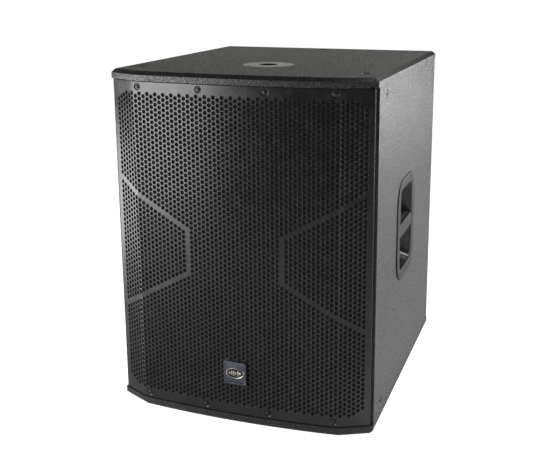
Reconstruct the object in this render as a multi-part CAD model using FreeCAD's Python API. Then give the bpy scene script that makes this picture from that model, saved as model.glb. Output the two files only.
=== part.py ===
import FreeCAD, Part

import math
import os

# Powered subwoofer cabinet. Millimetres, +Z up, front faces -Y, origin on the floor under
# the middle of the cabinet's bounding box.

# Cabinet
WIDTH = 520.0  # across the side panels
WOOD_HEIGHT = 672.0
FOOT_HEIGHT = 9.0
PLY = 18.0
SIDE_LENGTH = 568.0  # front corner of the top panel to its rear edge
FACET_WIDTH = 59.0  # the slanted stretch at each side of the front
FACET_DEPTH = 29.0
BOW_DEPTH = 11.0  # how far the middle of the front bows out from the folds
EDGE_CHAMFER = 7.0
BADGE_PROUD = 3.0  # the badge's face in front of the lips
BACK_RECESS = 20.0

HALF = WIDTH / 2
Z0 = FOOT_HEIGHT
Z1 = FOOT_HEIGHT + WOOD_HEIGHT
INNER_X = HALF - PLY
INNER_Z0 = Z0 + PLY
INNER_Z1 = Z1 - PLY
Y_BACK = (SIDE_LENGTH + FACET_DEPTH + BOW_DEPTH + BADGE_PROUD) / 2
Y_CORNER = Y_BACK - SIDE_LENGTH
Y_LIP = Y_CORNER - FACET_DEPTH - BOW_DEPTH
SIDE_FRONT = Y_CORNER + 6.5
BAFFLE_FRONT = Y_CORNER + 16.0
BAFFLE_BACK = BAFFLE_FRONT + PLY
BACK_OUTER = Y_BACK - BACK_RECESS
BACK_INNER = BACK_OUTER - PLY

# Grille
GRILLE_INSET = 2.0  # behind the lips
GRILLE_SHEET = 1.5
GRILLE_END_X = 255.0
GRILLE_FLANGE = 6.0
GRILLE_SCREW_X = (64.3, 191.5)
GRILLE_SCREW_Z = (INNER_Z0 + 11.0, INNER_Z1 - 10.5)
RAIL_HEIGHT = 17.5
FOAM_GAP = 0.3  # between the sheet's back and the foam
FOAM_THICKNESS = 2.5
FOAM_END_X = 249.0

# Badge
BADGE_SIZE = 46.0
BADGE_Z = Z0 + 105.0
EMBLEM_HALF_WIDTH = 18.4
EMBLEM_HALF_HEIGHT = 10.5

# Woofer
WOOFER_Z = Z0 + 400.0
CUTOUT_R = 208.5
FRAME_R = 231.0
LANDING_R = 194.0
CONE_R = 172.0
COIL_R = 50.0
BOLT_CIRCLE_R = 219.0
BOLT_COUNT = 8
MAGNET_R = 110.0
TOP_PLATE_Y = 102.0  # the woofer's depths are measured back from the baffle's face
TOP_PLATE = 12.0
MAGNET_THICKNESS = 25.0
YOKE_PLATE = 12.0

# Ports, one in each lower corner
PORT_BOARD = 12.0
PORT_LENGTH = 240.0
PORT_CORNERS = ((62.0, INNER_Z0), (84.0, 150.0), (120.0, 212.0), (INNER_X, 200.0))
PORT_OPENING = ((78.0, 48.0), (92.0, 151.0), (125.0, 207.0), (226.0, 187.0), (230.0, 48.0))

# Brace
BRACE_Y = 80.0
BRACE_BORDER = 60.0

# Top plate for the pole
POLE_Y = Y_CORNER + 157.0
POLE_R = 18.0
POLE_DEPTH = 80.0
POLE_FLANGE_R = 51.0
POLE_FLANGE = 3.0
POLE_SCREW_X = 29.0
POLE_SCREW_Y = 30.5

# Rigging points
RIG_TOP = ((-221.0, Y_CORNER + 55.0), (221.0, Y_CORNER + 55.0), (0.0, Y_CORNER + 531.0))
RIG_SIDE_Y = Y_CORNER + 62.0
RIG_SIDE_Z = (Z0 + 40.0, Z0 + 636.0)
RIG_HEAD_R = 9.5
RIG_BORE_R = 5.0
RIG_DEPTH = 17.0
RIG_FLANGE = 3.5

# Handles
HANDLE_Y = Y_CORNER + 260.6
HANDLE_Z = Z0 + 338.0
HANDLE_WIDTH = 164.0
HANDLE_HEIGHT = 214.0
HANDLE_CORNER_R = 50.0
HANDLE_PROUD = 2.5
HANDLE_DEPTH = 70.0
HANDLE_WALL = 3.0
HANDLE_BAR = 30.0
CUP_MOUTH = (57.0, 52.0, 84.0)  # half widths beside the bar and at the ends, half height
CUP_BOTTOM = (42.0, 36.0, 60.0)
CUP_CLEARANCE = 0.5  # between the cup and the panel that it goes through

# Feet
FOOT_R = 19.0
FOOT_X = 205.0
FOOT_Y = (Y_CORNER + 32.0, Y_BACK - 36.0)

# Amplifier module
AMP_WIDTH = 300.0
AMP_HEIGHT = 360.0
AMP_Z = 250.0
AMP_PLATE = 3.0
AMP_DEPTH = 95.0
AMP_OUTER = BACK_OUTER + AMP_PLATE
INPUT_X = 105.0
OUTPUT_X = 66.0
SOCKET_Z = (262.0, 222.0)
KNOB_X = 14.0
KNOB_Z = (262.0, 214.0)
KNOB_R = 9.0
BUTTON_X = -40.0
BUTTON_Z = 262.0
LENS_X = (-78.0, -92.0, -106.0)
LENS_Z = 262.0
INLET_X = -88.0
ROCKER_X = -20.0
POWER_Z = 130.0

X = FreeCAD.Vector(1, 0, 0)
Y = FreeCAD.Vector(0, 1, 0)
Z = FreeCAD.Vector(0, 0, 1)


def vec(x, y, z):
    return FreeCAD.Vector(x, y, z)


def box(x0, x1, y0, y1, z0, z1):
    return Part.makeBox(x1 - x0, y1 - y0, z1 - z0, vec(x0, y0, z0))


def rod(radius, start, end):
    """A cylinder between two points."""
    return Part.makeCylinder(radius, (end - start).Length, start, end - start)


def polygon_face(points):
    return Part.Face(Part.makePolygon([*points, points[0]]))


def slab_y(outline, y0, y1):
    """A prism along Y over an outline of (x, z) corners."""
    return polygon_face([vec(x, y0, z) for x, z in outline]).extrude(vec(0, y1 - y0, 0))


def fillet_along(solid, direction, radius, keep=lambda point: True):
    """Rounds the straight edges that run along a direction."""
    edges = []
    for edge in solid.Edges:
        if edge.Curve.TypeId != "Part::GeomLine":
            continue
        along = edge.Vertexes[-1].Point - edge.Vertexes[0].Point
        if along.cross(direction).Length < 1e-6 and keep(edge.CenterOfMass):
            edges.append(edge)
    return solid.makeFillet(radius, edges)


def rounded_block(x0, x1, y0, y1, z0, z1, radius, direction):
    return fillet_along(box(x0, x1, y0, y1, z0, z1), direction, radius)


def lathe(profile, x, z, y=0.0):
    """Turns (radius, depth) corners about an axis along Y through (x, z)."""
    face = polygon_face([vec(x + radius, y + depth, z) for radius, depth in profile])
    return face.revolve(vec(x, y, z), Y, 360)


def ring_y(outer, inner, y0, y1, x, z):
    return lathe(((inner, y0), (outer, y0), (outer, y1), (inner, y1)), x, z)


def around(count, start_degrees, radius, x, z):
    """Points evenly spaced on a circle in the XZ plane."""
    for k in range(count):
        angle = math.radians(start_degrees + 360.0 * k / count)
        yield x + radius * math.cos(angle), z + radius * math.sin(angle)


def hexagon_cut(point, inward, across_flats, depth):
    """A hexagon socket, sunk from a point on a head's face."""
    side = across_flats / math.sqrt(3)
    first = X if abs(inward.x) < 0.5 else Y
    second = inward.cross(first)
    corners = []
    for k in range(6):
        angle = math.radians(60 * k)
        corners.append(point + first * (side * math.cos(angle)) + second * (side * math.sin(angle)))
    return polygon_face(corners).extrude(inward * depth)


def pan_screw(point, inward, head_r, head_height, shank_r, length, across_flats):
    """A low cylinder head standing on a surface, with its shank going inward."""
    head_top = point - inward * head_height
    head = rod(head_r, head_top, point)
    shank = rod(shank_r, point - inward * 0.2, point + inward * length)
    return head.fuse(shank).removeSplitter().cut(
        hexagon_cut(head_top, inward, across_flats, head_height * 0.6)
    )


def flush_screw(point, inward, head_r, shank_r, length, across_flats):
    """A countersunk screw whose head lies level with the surface."""
    cone_depth = head_r - shank_r
    head = Part.makeCone(head_r, shank_r, cone_depth, point, inward)
    shank = rod(shank_r, point + inward * (cone_depth - 0.2), point + inward * length)
    return head.fuse(shank).removeSplitter().cut(
        hexagon_cut(point, inward, across_flats, cone_depth * 0.8)
    )


# Front line of the cabinet: two facets and a bow, offset inward for the grille and its rails.

BOW_X = HALF - FACET_WIDTH
BOW_R = (BOW_X**2 + BOW_DEPTH**2) / (2 * BOW_DEPTH)
BOW_CENTRE_Y = Y_LIP + BOW_R
FACET_SLOPE = FACET_DEPTH / FACET_WIDTH


def facet_y(x, inset):
    return Y_CORNER - (HALF - x) * FACET_SLOPE + inset * math.hypot(1, FACET_SLOPE)


def fold_x(inset):
    """Where a facet meets the bow, at an inset."""
    rise = facet_y(0, inset) - BOW_CENTRE_Y
    a = 1 + FACET_SLOPE**2
    b = FACET_SLOPE * rise
    c = rise**2 - (BOW_R - inset) ** 2
    return (-b - math.sqrt(b * b - a * c)) / a


def bow_y(x, inset):
    return BOW_CENTRE_Y - math.sqrt((BOW_R - inset) ** 2 - x * x)


def front_y(x, inset):
    x = abs(x)
    return facet_y(x, inset) if x > fold_x(inset) else bow_y(x, inset)


def front_edges(inset, end_x, z):
    """The front line from -end_x to end_x."""
    fold = fold_x(inset)
    left = vec(-fold, bow_y(fold, inset), z)
    right = vec(fold, bow_y(fold, inset), z)
    return [
        Part.makeLine(vec(-end_x, facet_y(end_x, inset), z), left),
        Part.Arc(left, vec(0, bow_y(0, inset), z), right).toShape(),
        Part.makeLine(right, vec(end_x, facet_y(end_x, inset), z)),
    ]


def closed_by(edges, points):
    """A face bounded by a chain of edges and then by straight lines through points."""
    loop = [edges[-1].Vertexes[-1].Point, *points, edges[0].Vertexes[0].Point]
    lines = [Part.makeLine(a, b) for a, b in zip(loop, loop[1:])]
    return Part.Face(Part.Wire(Part.__sortEdges__([*edges, *lines])))


def end_panel(z0, chamfer_z):
    """The top or bottom board, with its outer edges chamfered."""
    face = closed_by(
        front_edges(0, HALF, z0),
        [vec(HALF, Y_BACK, z0), vec(-HALF, Y_BACK, z0)],
    )
    board = face.extrude(Z * PLY)
    rim = []
    for edge in board.Edges:
        level = edge.BoundBox.ZLength < 1e-6
        if level and abs(edge.BoundBox.ZMin - chamfer_z) < 1e-6:
            rim.append(edge)
    return board.makeChamfer(EDGE_CHAMFER, rim)


def rigging_cut(point, inward):
    """The seat for a threaded insert: a stepped hole."""
    flange = rod(11.0, point - inward, point + inward * RIG_FLANGE)
    return flange.fuse(rod(8.0, point - inward, point + inward * RIG_DEPTH))


def rigging_places():
    """(point, inward direction) of the seven rigging points."""
    for x, y in RIG_TOP:
        yield vec(x, y, Z1), -Z
    for side in (-1, 1):
        for z in RIG_SIDE_Z:
            yield vec(side * HALF, RIG_SIDE_Y, z), -X * side


def foot_places():
    """(name, centre on the floor) of the four feet."""
    for end, y in zip(("front", "rear"), FOOT_Y):
        for hand, side in (("left", -1), ("right", 1)):
            yield f"foot_{end}_{hand}", vec(side * FOOT_X, y, 0)


def pole_screw_places():
    for sx in (-1, 1):
        for sy in (-1, 1):
            yield vec(sx * POLE_SCREW_X, POLE_Y + sy * POLE_SCREW_Y, Z1)


def make_top_panel():
    panel = end_panel(INNER_Z1, Z1)
    panel = panel.cut(rod(POLE_FLANGE_R, vec(0, POLE_Y, Z1 - POLE_FLANGE), vec(0, POLE_Y, Z1 + 1)))
    panel = panel.cut(rod(POLE_R + 3, vec(0, POLE_Y, INNER_Z1 - 1), vec(0, POLE_Y, Z1)))
    for point in pole_screw_places():
        panel = panel.cut(rod(2.0, point, point - Z * 15))
    for point, inward in rigging_places():
        if inward.z:
            panel = panel.cut(rigging_cut(point, inward))
    return panel


def make_bottom_panel():
    panel = end_panel(Z0, Z0)
    for _, centre in foot_places():
        panel = panel.cut(rod(2.0, centre, centre + Z * (Z0 + 13)))
    return panel


def handle_profile(half_sizes, wall, x):
    """The handle cup's outline: widest at the bar, narrower at its two ends."""
    half_middle, half_end, half_height = (size + wall for size in half_sizes)
    corners = [
        (-half_middle, -HANDLE_BAR / 2),
        (-half_end, -half_height),
        (half_end, -half_height),
        (half_middle, -HANDLE_BAR / 2),
        (half_middle, HANDLE_BAR / 2),
        (half_end, half_height),
        (-half_end, half_height),
        (-half_middle, HANDLE_BAR / 2),
    ]
    points = [vec(x, HANDLE_Y + y, HANDLE_Z + z) for y, z in corners]
    return Part.makePolygon([*points, points[0]])


def handle_cup(wall, x_mouth, x_bottom):
    """A tapered block, as large as the cup's hollow plus a wall."""
    mouth = handle_profile(CUP_MOUTH, wall, x_mouth)
    bottom = handle_profile(CUP_BOTTOM, wall, x_bottom)
    return Part.makeLoft([mouth, bottom], True)


def handle_screw_places(side):
    for sy, sz in ((0, 1), (0, -1), (-1, 0), (1, 0)):
        reach_y = HANDLE_WIDTH / 2 - 8.5
        reach_z = HANDLE_HEIGHT / 2 - 9.0
        yield vec(
            side * (HALF + HANDLE_PROUD), HANDLE_Y + sy * reach_y, HANDLE_Z + sz * reach_z
        )


def make_handle(side):
    outer = HALF + HANDLE_PROUD
    flange = rounded_block(
        HALF,
        outer,
        HANDLE_Y - HANDLE_WIDTH / 2,
        HANDLE_Y + HANDLE_WIDTH / 2,
        HANDLE_Z - HANDLE_HEIGHT / 2,
        HANDLE_Z + HANDLE_HEIGHT / 2,
        HANDLE_CORNER_R,
        X,
    )
    bottom = outer - HANDLE_DEPTH
    shell = flange.fuse(handle_cup(HANDLE_WALL, HALF, bottom - HANDLE_WALL))
    shell = shell.cut(handle_cup(0.0, outer + 0.01, bottom))
    bar = rounded_block(
        outer - 28,
        outer - 0.5,
        HANDLE_Y - CUP_MOUTH[0] - 0.5,
        HANDLE_Y + CUP_MOUTH[0] + 0.5,
        HANDLE_Z - HANDLE_BAR / 2,
        HANDLE_Z + HANDLE_BAR / 2,
        7.0,
        Y,
    )
    handle = shell.fuse(bar).removeSplitter()
    for point in handle_screw_places(1):
        handle = handle.cut(Part.makeCone(4.0, 2.1, 2.0, point, -X))
        handle = handle.cut(rod(2.1, point, point - X * 4))
    return handle if side > 0 else handle.mirror(vec(0, 0, 0), X)


def make_side_panel(side):
    panel = box(INNER_X, HALF, SIDE_FRONT, Y_BACK, INNER_Z0, INNER_Z1)
    rear = [
        e
        for e in panel.Edges
        if abs(e.CenterOfMass.x - HALF) < 1e-6 and abs(e.CenterOfMass.y - Y_BACK) < 1e-6
    ]
    panel = panel.makeChamfer(EDGE_CHAMFER, rear)
    reach_y = CUP_MOUTH[0] + HANDLE_WALL + CUP_CLEARANCE
    reach_z = CUP_MOUTH[2] + HANDLE_WALL + CUP_CLEARANCE
    panel = panel.cut(
        rounded_block(
            INNER_X - 1,
            HALF + 1,
            HANDLE_Y - reach_y,
            HANDLE_Y + reach_y,
            HANDLE_Z - reach_z,
            HANDLE_Z + reach_z,
            8.0,
            X,
        )
    )
    for point in handle_screw_places(1):
        panel = panel.cut(rod(1.6, point, point - X * 17))
    for z in RIG_SIDE_Z:
        panel = panel.cut(rigging_cut(vec(HALF, RIG_SIDE_Y, z), -X))
    return panel if side > 0 else panel.mirror(vec(0, 0, 0), X)


def make_baffle():
    board = box(-INNER_X, INNER_X, BAFFLE_FRONT, BAFFLE_BACK, INNER_Z0, INNER_Z1)
    front = BAFFLE_FRONT - 1
    back = BAFFLE_BACK + 1
    board = board.cut(rod(CUTOUT_R, vec(0, front, WOOFER_Z), vec(0, back, WOOFER_Z)))
    for x, z in woofer_bolt_places():
        board = board.cut(rod(4.0, vec(x, front, z), vec(x, back, z)))
    for side in (-1, 1):
        mouth = slab_y([(side * x, z) for x, z in PORT_OPENING], front, back)
        board = board.cut(fillet_along(mouth, Y, 12.0))
    return board


def port_lines():
    """The duct's corners, and the corners of its walls' outer faces."""
    inner = [vec(x, 0, z) for x, z in PORT_CORNERS]
    runs = [(b - a).normalize() for a, b in zip(inner, inner[1:])]
    normals = [vec(-run.z, 0, run.x) for run in runs]
    outer = [inner[0] + normals[0] * PORT_BOARD]
    for point, before, after in zip(inner[1:], normals, normals[1:]):
        bisector = before + after
        outer.append(point + bisector * (2 * PORT_BOARD / bisector.Length**2))
    outer.append(inner[-1] + normals[-1] * PORT_BOARD)
    outer[0] -= runs[0] * ((outer[0].z - INNER_Z0) / runs[0].z)
    outer[-1] += runs[-1] * ((INNER_X - outer[-1].x) / runs[-1].x)
    return inner, outer


def make_port_board(k, side):
    inner, outer = port_lines()
    corners = [inner[k], inner[k + 1], outer[k + 1], outer[k]]
    outline = [(side * p.x, p.z) for p in corners]
    return slab_y(outline, BAFFLE_BACK, BAFFLE_BACK + PORT_LENGTH)


def make_back_panel():
    board = box(-INNER_X, INNER_X, BACK_INNER, BACK_OUTER, INNER_Z0, INNER_Z1)
    opening = rounded_block(
        -AMP_WIDTH / 2 + 18,
        AMP_WIDTH / 2 - 18,
        BACK_INNER - 1,
        BACK_OUTER + 1,
        AMP_Z - AMP_HEIGHT / 2 + 18,
        AMP_Z + AMP_HEIGHT / 2 - 18,
        6.0,
        Y,
    )
    board = board.cut(opening)
    for point in amp_screw_places():
        board = board.cut(rod(1.7, point, point - Y * 16))
    return board


def make_brace():
    brace = box(-INNER_X, INNER_X, BRACE_Y, BRACE_Y + PLY, INNER_Z0, INNER_Z1)
    middle = (INNER_Z0 + INNER_Z1) / 2
    for z0, z1 in (
        (INNER_Z0 + BRACE_BORDER, middle - BRACE_BORDER / 2),
        (middle + BRACE_BORDER / 2, INNER_Z1 - BRACE_BORDER),
    ):
        window = rounded_block(
            -INNER_X + BRACE_BORDER,
            INNER_X - BRACE_BORDER,
            BRACE_Y - 1,
            BRACE_Y + PLY + 1,
            z0,
            z1,
            30.0,
            Y,
        )
        brace = brace.cut(window)
    return brace


def make_rails():
    """Two curved rails behind the grille, which its screws bite into."""
    rails = []
    end_x = INNER_X - 1.0
    for z in (INNER_Z0, INNER_Z1 - RAIL_HEIGHT):
        inset = GRILLE_INSET + GRILLE_SHEET
        face = closed_by(
            front_edges(inset, end_x, z),
            [vec(end_x, BAFFLE_FRONT, z), vec(-end_x, BAFFLE_FRONT, z)],
        )
        rail = face.extrude(Z * RAIL_HEIGHT)
        for point in grille_screw_places():
            if z < point.z < z + RAIL_HEIGHT:
                rail = rail.cut(rod(1.9, point, point + Y * 20))
        rails.append(rail)
    return Part.makeCompound(rails)


def grille_screw_places():
    for z in GRILLE_SCREW_Z:
        for x in (-GRILLE_SCREW_X[1], -GRILLE_SCREW_X[0], *GRILLE_SCREW_X):
            yield vec(x, front_y(x, GRILLE_INSET), z)


def make_grille():
    """A sheet folded to the front line, with a flange turned back at each end."""
    z = INNER_Z0 + 0.4
    height = INNER_Z1 - INNER_Z0 - 0.8
    end_y = facet_y(GRILLE_END_X, GRILLE_INSET) + GRILLE_FLANGE
    inner_end = GRILLE_END_X - GRILLE_SHEET
    outer = front_edges(GRILLE_INSET, GRILLE_END_X, z)
    inner = front_edges(GRILLE_INSET + GRILLE_SHEET, inner_end, z)
    ends = []
    for side in (-1, 1):
        outside = vec(side * GRILLE_END_X, facet_y(GRILLE_END_X, GRILLE_INSET), z)
        inside = vec(side * inner_end, facet_y(inner_end, GRILLE_INSET + GRILLE_SHEET), z)
        corners = [outside, vec(outside.x, end_y, z), vec(inside.x, end_y, z), inside]
        ends += [Part.makeLine(a, b) for a, b in zip(corners, corners[1:])]
    face = Part.Face(Part.Wire(Part.__sortEdges__([*outer, *inner, *ends])))
    grille = face.extrude(Z * height)
    grille = fillet_along(
        grille,
        Z,
        2.5,
        lambda p: abs(abs(p.x) - GRILLE_END_X) < 1e-6 and p.y < end_y - 1,
    )
    for point in grille_screw_places():
        grille = grille.cut(rod(2.2, point - Y * 3, point + Y * 5))
    return grille


def make_grille_foam():
    """The dust foam behind the sheet, between the two rails."""
    z = INNER_Z0 + RAIL_HEIGHT + FOAM_GAP
    height = INNER_Z1 - INNER_Z0 - 2 * (RAIL_HEIGHT + FOAM_GAP)
    front_inset = GRILLE_INSET + GRILLE_SHEET + FOAM_GAP
    back_inset = front_inset + FOAM_THICKNESS
    front = front_edges(front_inset, FOAM_END_X, z)
    back = front_edges(back_inset, FOAM_END_X, z)
    ends = []
    for side in (-1, 1):
        outside = vec(side * FOAM_END_X, facet_y(FOAM_END_X, front_inset), z)
        inside = vec(side * FOAM_END_X, facet_y(FOAM_END_X, back_inset), z)
        ends.append(Part.makeLine(outside, inside))
    face = Part.Face(Part.Wire(Part.__sortEdges__([*front, *back, *ends])))
    return face.extrude(Z * height)


def make_badge_plate():
    """A shallow square tray with a raised rim."""
    half = BADGE_SIZE / 2
    front = Y_LIP - BADGE_PROUD
    back = front_y(0, GRILLE_INSET) - 0.05
    plate = rounded_block(-half, half, front, back, BADGE_Z - half, BADGE_Z + half, 2.5, Y)
    hollow = half - 2.5
    recess = rounded_block(
        -hollow, hollow, front - 1, front + 2.0, BADGE_Z - hollow, BADGE_Z + hollow, 1.5, Y
    )
    return plate.cut(recess)


def make_badge_emblem():
    """A plain oval plate lying in the badge's tray."""
    front = Y_LIP - BADGE_PROUD
    centre = vec(0, front + 0.5, BADGE_Z)
    tip = centre + X * EMBLEM_HALF_WIDTH
    crown = centre + Z * EMBLEM_HALF_HEIGHT
    oval = Part.Ellipse(tip, crown, centre).toShape()
    return Part.Face(Part.Wire([oval])).extrude(Y * 1.5)


def make_pole_socket():
    """A top-hat cup: a round flange with a blind tube under it."""
    x_z = [
        (POLE_R, 0.0),
        (POLE_FLANGE_R - 0.5, 0.0),
        (POLE_FLANGE_R - 0.1, -0.6),
        (POLE_FLANGE_R - 0.1, -POLE_FLANGE),
        (POLE_R + 2.9, -POLE_FLANGE),
        (POLE_R + 2.9, -POLE_DEPTH - 3.0),
        (0, -POLE_DEPTH - 3.0),
        (0, -POLE_DEPTH),
        (POLE_R, -POLE_DEPTH),
    ]
    face = polygon_face([vec(x, POLE_Y, Z1 + z) for x, z in x_z])
    socket = face.revolve(vec(0, POLE_Y, 0), Z, 360)
    for point in pole_screw_places():
        socket = socket.cut(Part.makeCone(4.2, 2.2, 2.0, point, -Z))
        socket = socket.cut(rod(2.2, point, point - Z * 4))
    for side in (-1, 1):
        mark = vec(side * 23.5, POLE_Y - 4.0, Z1)
        socket = socket.cut(rod(1.2, mark, mark - Z * 0.8))
    return socket


def make_rigging_insert(point, inward):
    """A threaded bush with a countersunk mouth."""
    flange = rod(10.9, point, point + inward * RIG_FLANGE)
    bush = flange.fuse(rod(7.9, point, point + inward * RIG_DEPTH)).removeSplitter()
    seat = Part.makeCone(RIG_HEAD_R + 0.1, RIG_BORE_R, RIG_HEAD_R + 0.1 - RIG_BORE_R, point, inward)
    return bush.cut(seat).cut(rod(RIG_BORE_R, point, point + inward * (RIG_DEPTH + 1)))


def make_foot(centre):
    """A tapered rubber foot with a sunk screw hole."""
    foot = Part.makeCone(FOOT_R - 3, FOOT_R, FOOT_HEIGHT, centre, Z)
    foot = foot.cut(rod(5.5, centre - Z, centre + Z * 4))
    return foot.cut(rod(2.2, centre, centre + Z * (FOOT_HEIGHT + 1)))


def woofer_bolt_places():
    return around(BOLT_COUNT, 22.5, BOLT_CIRCLE_R, 0, WOOFER_Z)


def make_woofer_frame():
    """A cast basket: rim, eight arms and a hub with a landing for the spider."""
    y = BAFFLE_FRONT
    rim = lathe(
        (
            (LANDING_R, -4.0),
            (206.0, -4.0),
            (206.0, -9.0),
            (229.0, -9.0),
            (FRAME_R, -7.0),
            (FRAME_R, 0.0),
            (CUTOUT_R - 1, 0.0),
            (CUTOUT_R - 3, 18.0),
            (LANDING_R + 6, 18.0),
            (LANDING_R, 6.0),
        ),
        0,
        WOOFER_Z,
        y,
    )
    hub_back = TOP_PLATE_Y
    hub = ring_y(MAGNET_R + 2, 88.0, y + hub_back - 8, y + hub_back, 0, WOOFER_Z)
    wall = lathe(
        (
            (CUTOUT_R - 3, 16.0),
            (MAGNET_R + 2, hub_back - 2),
            (MAGNET_R - 6, hub_back - 2),
            (CUTOUT_R - 11, 16.0),
        ),
        0,
        WOOFER_Z,
        y,
    )
    for k in range(BOLT_COUNT):
        turn = 360.0 * k / BOLT_COUNT
        window = slab_y(
            [(120, WOOFER_Z - 30), (196, WOOFER_Z - 56), (196, WOOFER_Z + 56), (120, WOOFER_Z + 30)],
            y + 26,
            y + hub_back - 12,
        )
        window.rotate(vec(0, 0, WOOFER_Z), Y, turn)
        wall = wall.cut(window)
    frame = rim.fuse(hub).fuse(wall).removeSplitter()
    for x, z in woofer_bolt_places():
        frame = frame.cut(rod(3.4, vec(x, y - 10, z), vec(x, y + 1, z)))
    return frame


def make_gasket():
    y = BAFFLE_FRONT
    return ring_y(205.5, 196.0, y - 9.0, y - 5.6, 0, WOOFER_Z)


CONE_SLOPE = (78.0 + 0.8) / (CONE_R - 7 - COIL_R)


def cone_depth(radius):
    """How far behind the baffle's face the front of the cone lies at a radius."""
    return -0.8 + (CONE_R - 7 - radius) * CONE_SLOPE


def make_cone():
    wall = 1.4
    neck = COIL_R + 0.05
    profile = (
        (CONE_R, -2.0),
        (CONE_R, -0.8),
        (CONE_R - 7, -0.8 + wall),
        (neck, cone_depth(neck) + wall),
        (neck, cone_depth(neck) - 0.4),
        (CONE_R - 7, -2.0),
    )
    return lathe(profile, 0, WOOFER_Z, BAFFLE_FRONT)


def make_dust_cap():
    """A dome glued to the cone, dished over the coil."""
    edge = 60.0
    rise = 22.0
    radius = (edge**2 + rise**2) / (2 * rise)
    rim_y = BAFFLE_FRONT + cone_depth(edge) - 1.9
    centre = vec(0, rim_y - rise + radius, WOOFER_Z)
    outer = Part.makeSphere(radius, centre)
    inner = Part.makeSphere(radius - 1.2, centre)
    keep = rod(edge - 0.4, vec(0, rim_y - rise - 1, WOOFER_Z), vec(0, rim_y, WOOFER_Z))
    return outer.cut(inner).common(keep)


def make_surround():
    """Two rolls between the cone's lip and the frame's landing."""
    steps = 24
    inner_r = CONE_R - 7
    outer_r = 205.0
    wall = 1.4
    start = CONE_R + 0.5
    stop = LANDING_R + 1.5
    front = [(inner_r, -3.5)]
    back = [(inner_r, -2.1)]
    for k in range(steps + 1):
        share = k / steps
        radius = start + (stop - start) * share
        rise = 3.4 * math.sin(2 * math.pi * share) ** 2
        drop = -2.1 * (1 - share) - 4.1 * share
        front.append((radius, drop - wall - rise))
        back.append((radius, drop - rise))
    front.append((outer_r, -4.1 - wall))
    back.append((outer_r, -4.1))
    return lathe([*front, *reversed(back)], 0, WOOFER_Z, BAFFLE_FRONT)


def make_spider():
    """A corrugated disc that centres the coil."""
    steps = 40
    wall = 1.0
    depth = 91.0
    front = []
    back = []
    for k in range(steps + 1):
        share = k / steps
        radius = COIL_R + 0.2 + (96.0 - COIL_R - 0.2) * share
        flat = 1.0 if 0.08 < share < 0.82 else 0.0
        wave = 1.3 * flat * math.sin(2 * math.pi * 5 * share)
        front.append((radius, depth + wave))
        back.append((radius, depth + wave + wall))
    return lathe([*front, *reversed(back)], 0, WOOFER_Z, BAFFLE_FRONT)


def make_coil_former():
    return ring_y(COIL_R, COIL_R - 0.6, BAFFLE_FRONT + 74, BAFFLE_FRONT + 124, 0, WOOFER_Z)


def make_coil_winding():
    middle = TOP_PLATE_Y + TOP_PLATE / 2
    y = BAFFLE_FRONT + middle
    return ring_y(COIL_R + 1.2, COIL_R + 0.02, y - 11, y + 11, 0, WOOFER_Z)


def make_magnet_top_plate():
    y = BAFFLE_FRONT + TOP_PLATE_Y
    return ring_y(MAGNET_R, COIL_R + 2.0, y, y + TOP_PLATE, 0, WOOFER_Z)


def make_magnet_ring():
    y = BAFFLE_FRONT + TOP_PLATE_Y + TOP_PLATE
    return ring_y(MAGNET_R - 1, COIL_R + 14, y, y + MAGNET_THICKNESS, 0, WOOFER_Z)


def make_magnet_yoke():
    """The back plate and the pole that stands inside the coil, vented through."""
    plate = TOP_PLATE_Y + TOP_PLATE + MAGNET_THICKNESS
    profile = (
        (15.0, TOP_PLATE_Y - 2),
        (COIL_R - 1.7, TOP_PLATE_Y),
        (COIL_R - 1.7, plate),
        (MAGNET_R - 3, plate),
        (MAGNET_R - 6, plate + YOKE_PLATE),
        (20.0, plate + YOKE_PLATE),
        (15.0, plate + YOKE_PLATE - 6),
    )
    return lathe(profile, 0, WOOFER_Z, BAFFLE_FRONT)


def make_woofer_bolts():
    bolts = []
    for x, z in woofer_bolt_places():
        bolts.append(pan_screw(vec(x, BAFFLE_FRONT - 9, z), Y, 5.0, 6.0, 2.95, 30.0, 5.0))
    return Part.makeCompound(bolts)


def make_tee_nuts():
    nuts = []
    for x, z in woofer_bolt_places():
        barrel = rod(3.95, vec(x, BAFFLE_BACK - 14, z), vec(x, BAFFLE_BACK, z))
        flange = rod(9.0, vec(x, BAFFLE_BACK, z), vec(x, BAFFLE_BACK + 1.5, z))
        bore = rod(3.0, vec(x, BAFFLE_BACK - 15, z), vec(x, BAFFLE_BACK + 2, z))
        nuts.append(barrel.fuse(flange).removeSplitter().cut(bore))
    return Part.makeCompound(nuts)


TERMINAL_Y = BAFFLE_FRONT + TOP_PLATE_Y + 2.0
TERMINAL_Z = WOOFER_Z + MAGNET_R + 7.0
CABLE_X = 8.0
CABLE_R = 2.0


def make_terminals():
    """A small block on the magnet's edge with two lugs facing back."""
    block = box(-16, 16, TERMINAL_Y, TERMINAL_Y + 9, WOOFER_Z + MAGNET_R - 1.0, TERMINAL_Z + 6)
    axis = vec(0, TERMINAL_Y, WOOFER_Z)
    block = block.cut(rod(MAGNET_R + 0.05, axis - Y, axis + Y * 10))
    for side in (-1, 1):
        lug = vec(side * CABLE_X, TERMINAL_Y, TERMINAL_Z)
        block = block.fuse(rod(3.2, lug + Y * 8.5, lug + Y * 15))
    return block.removeSplitter()


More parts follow.
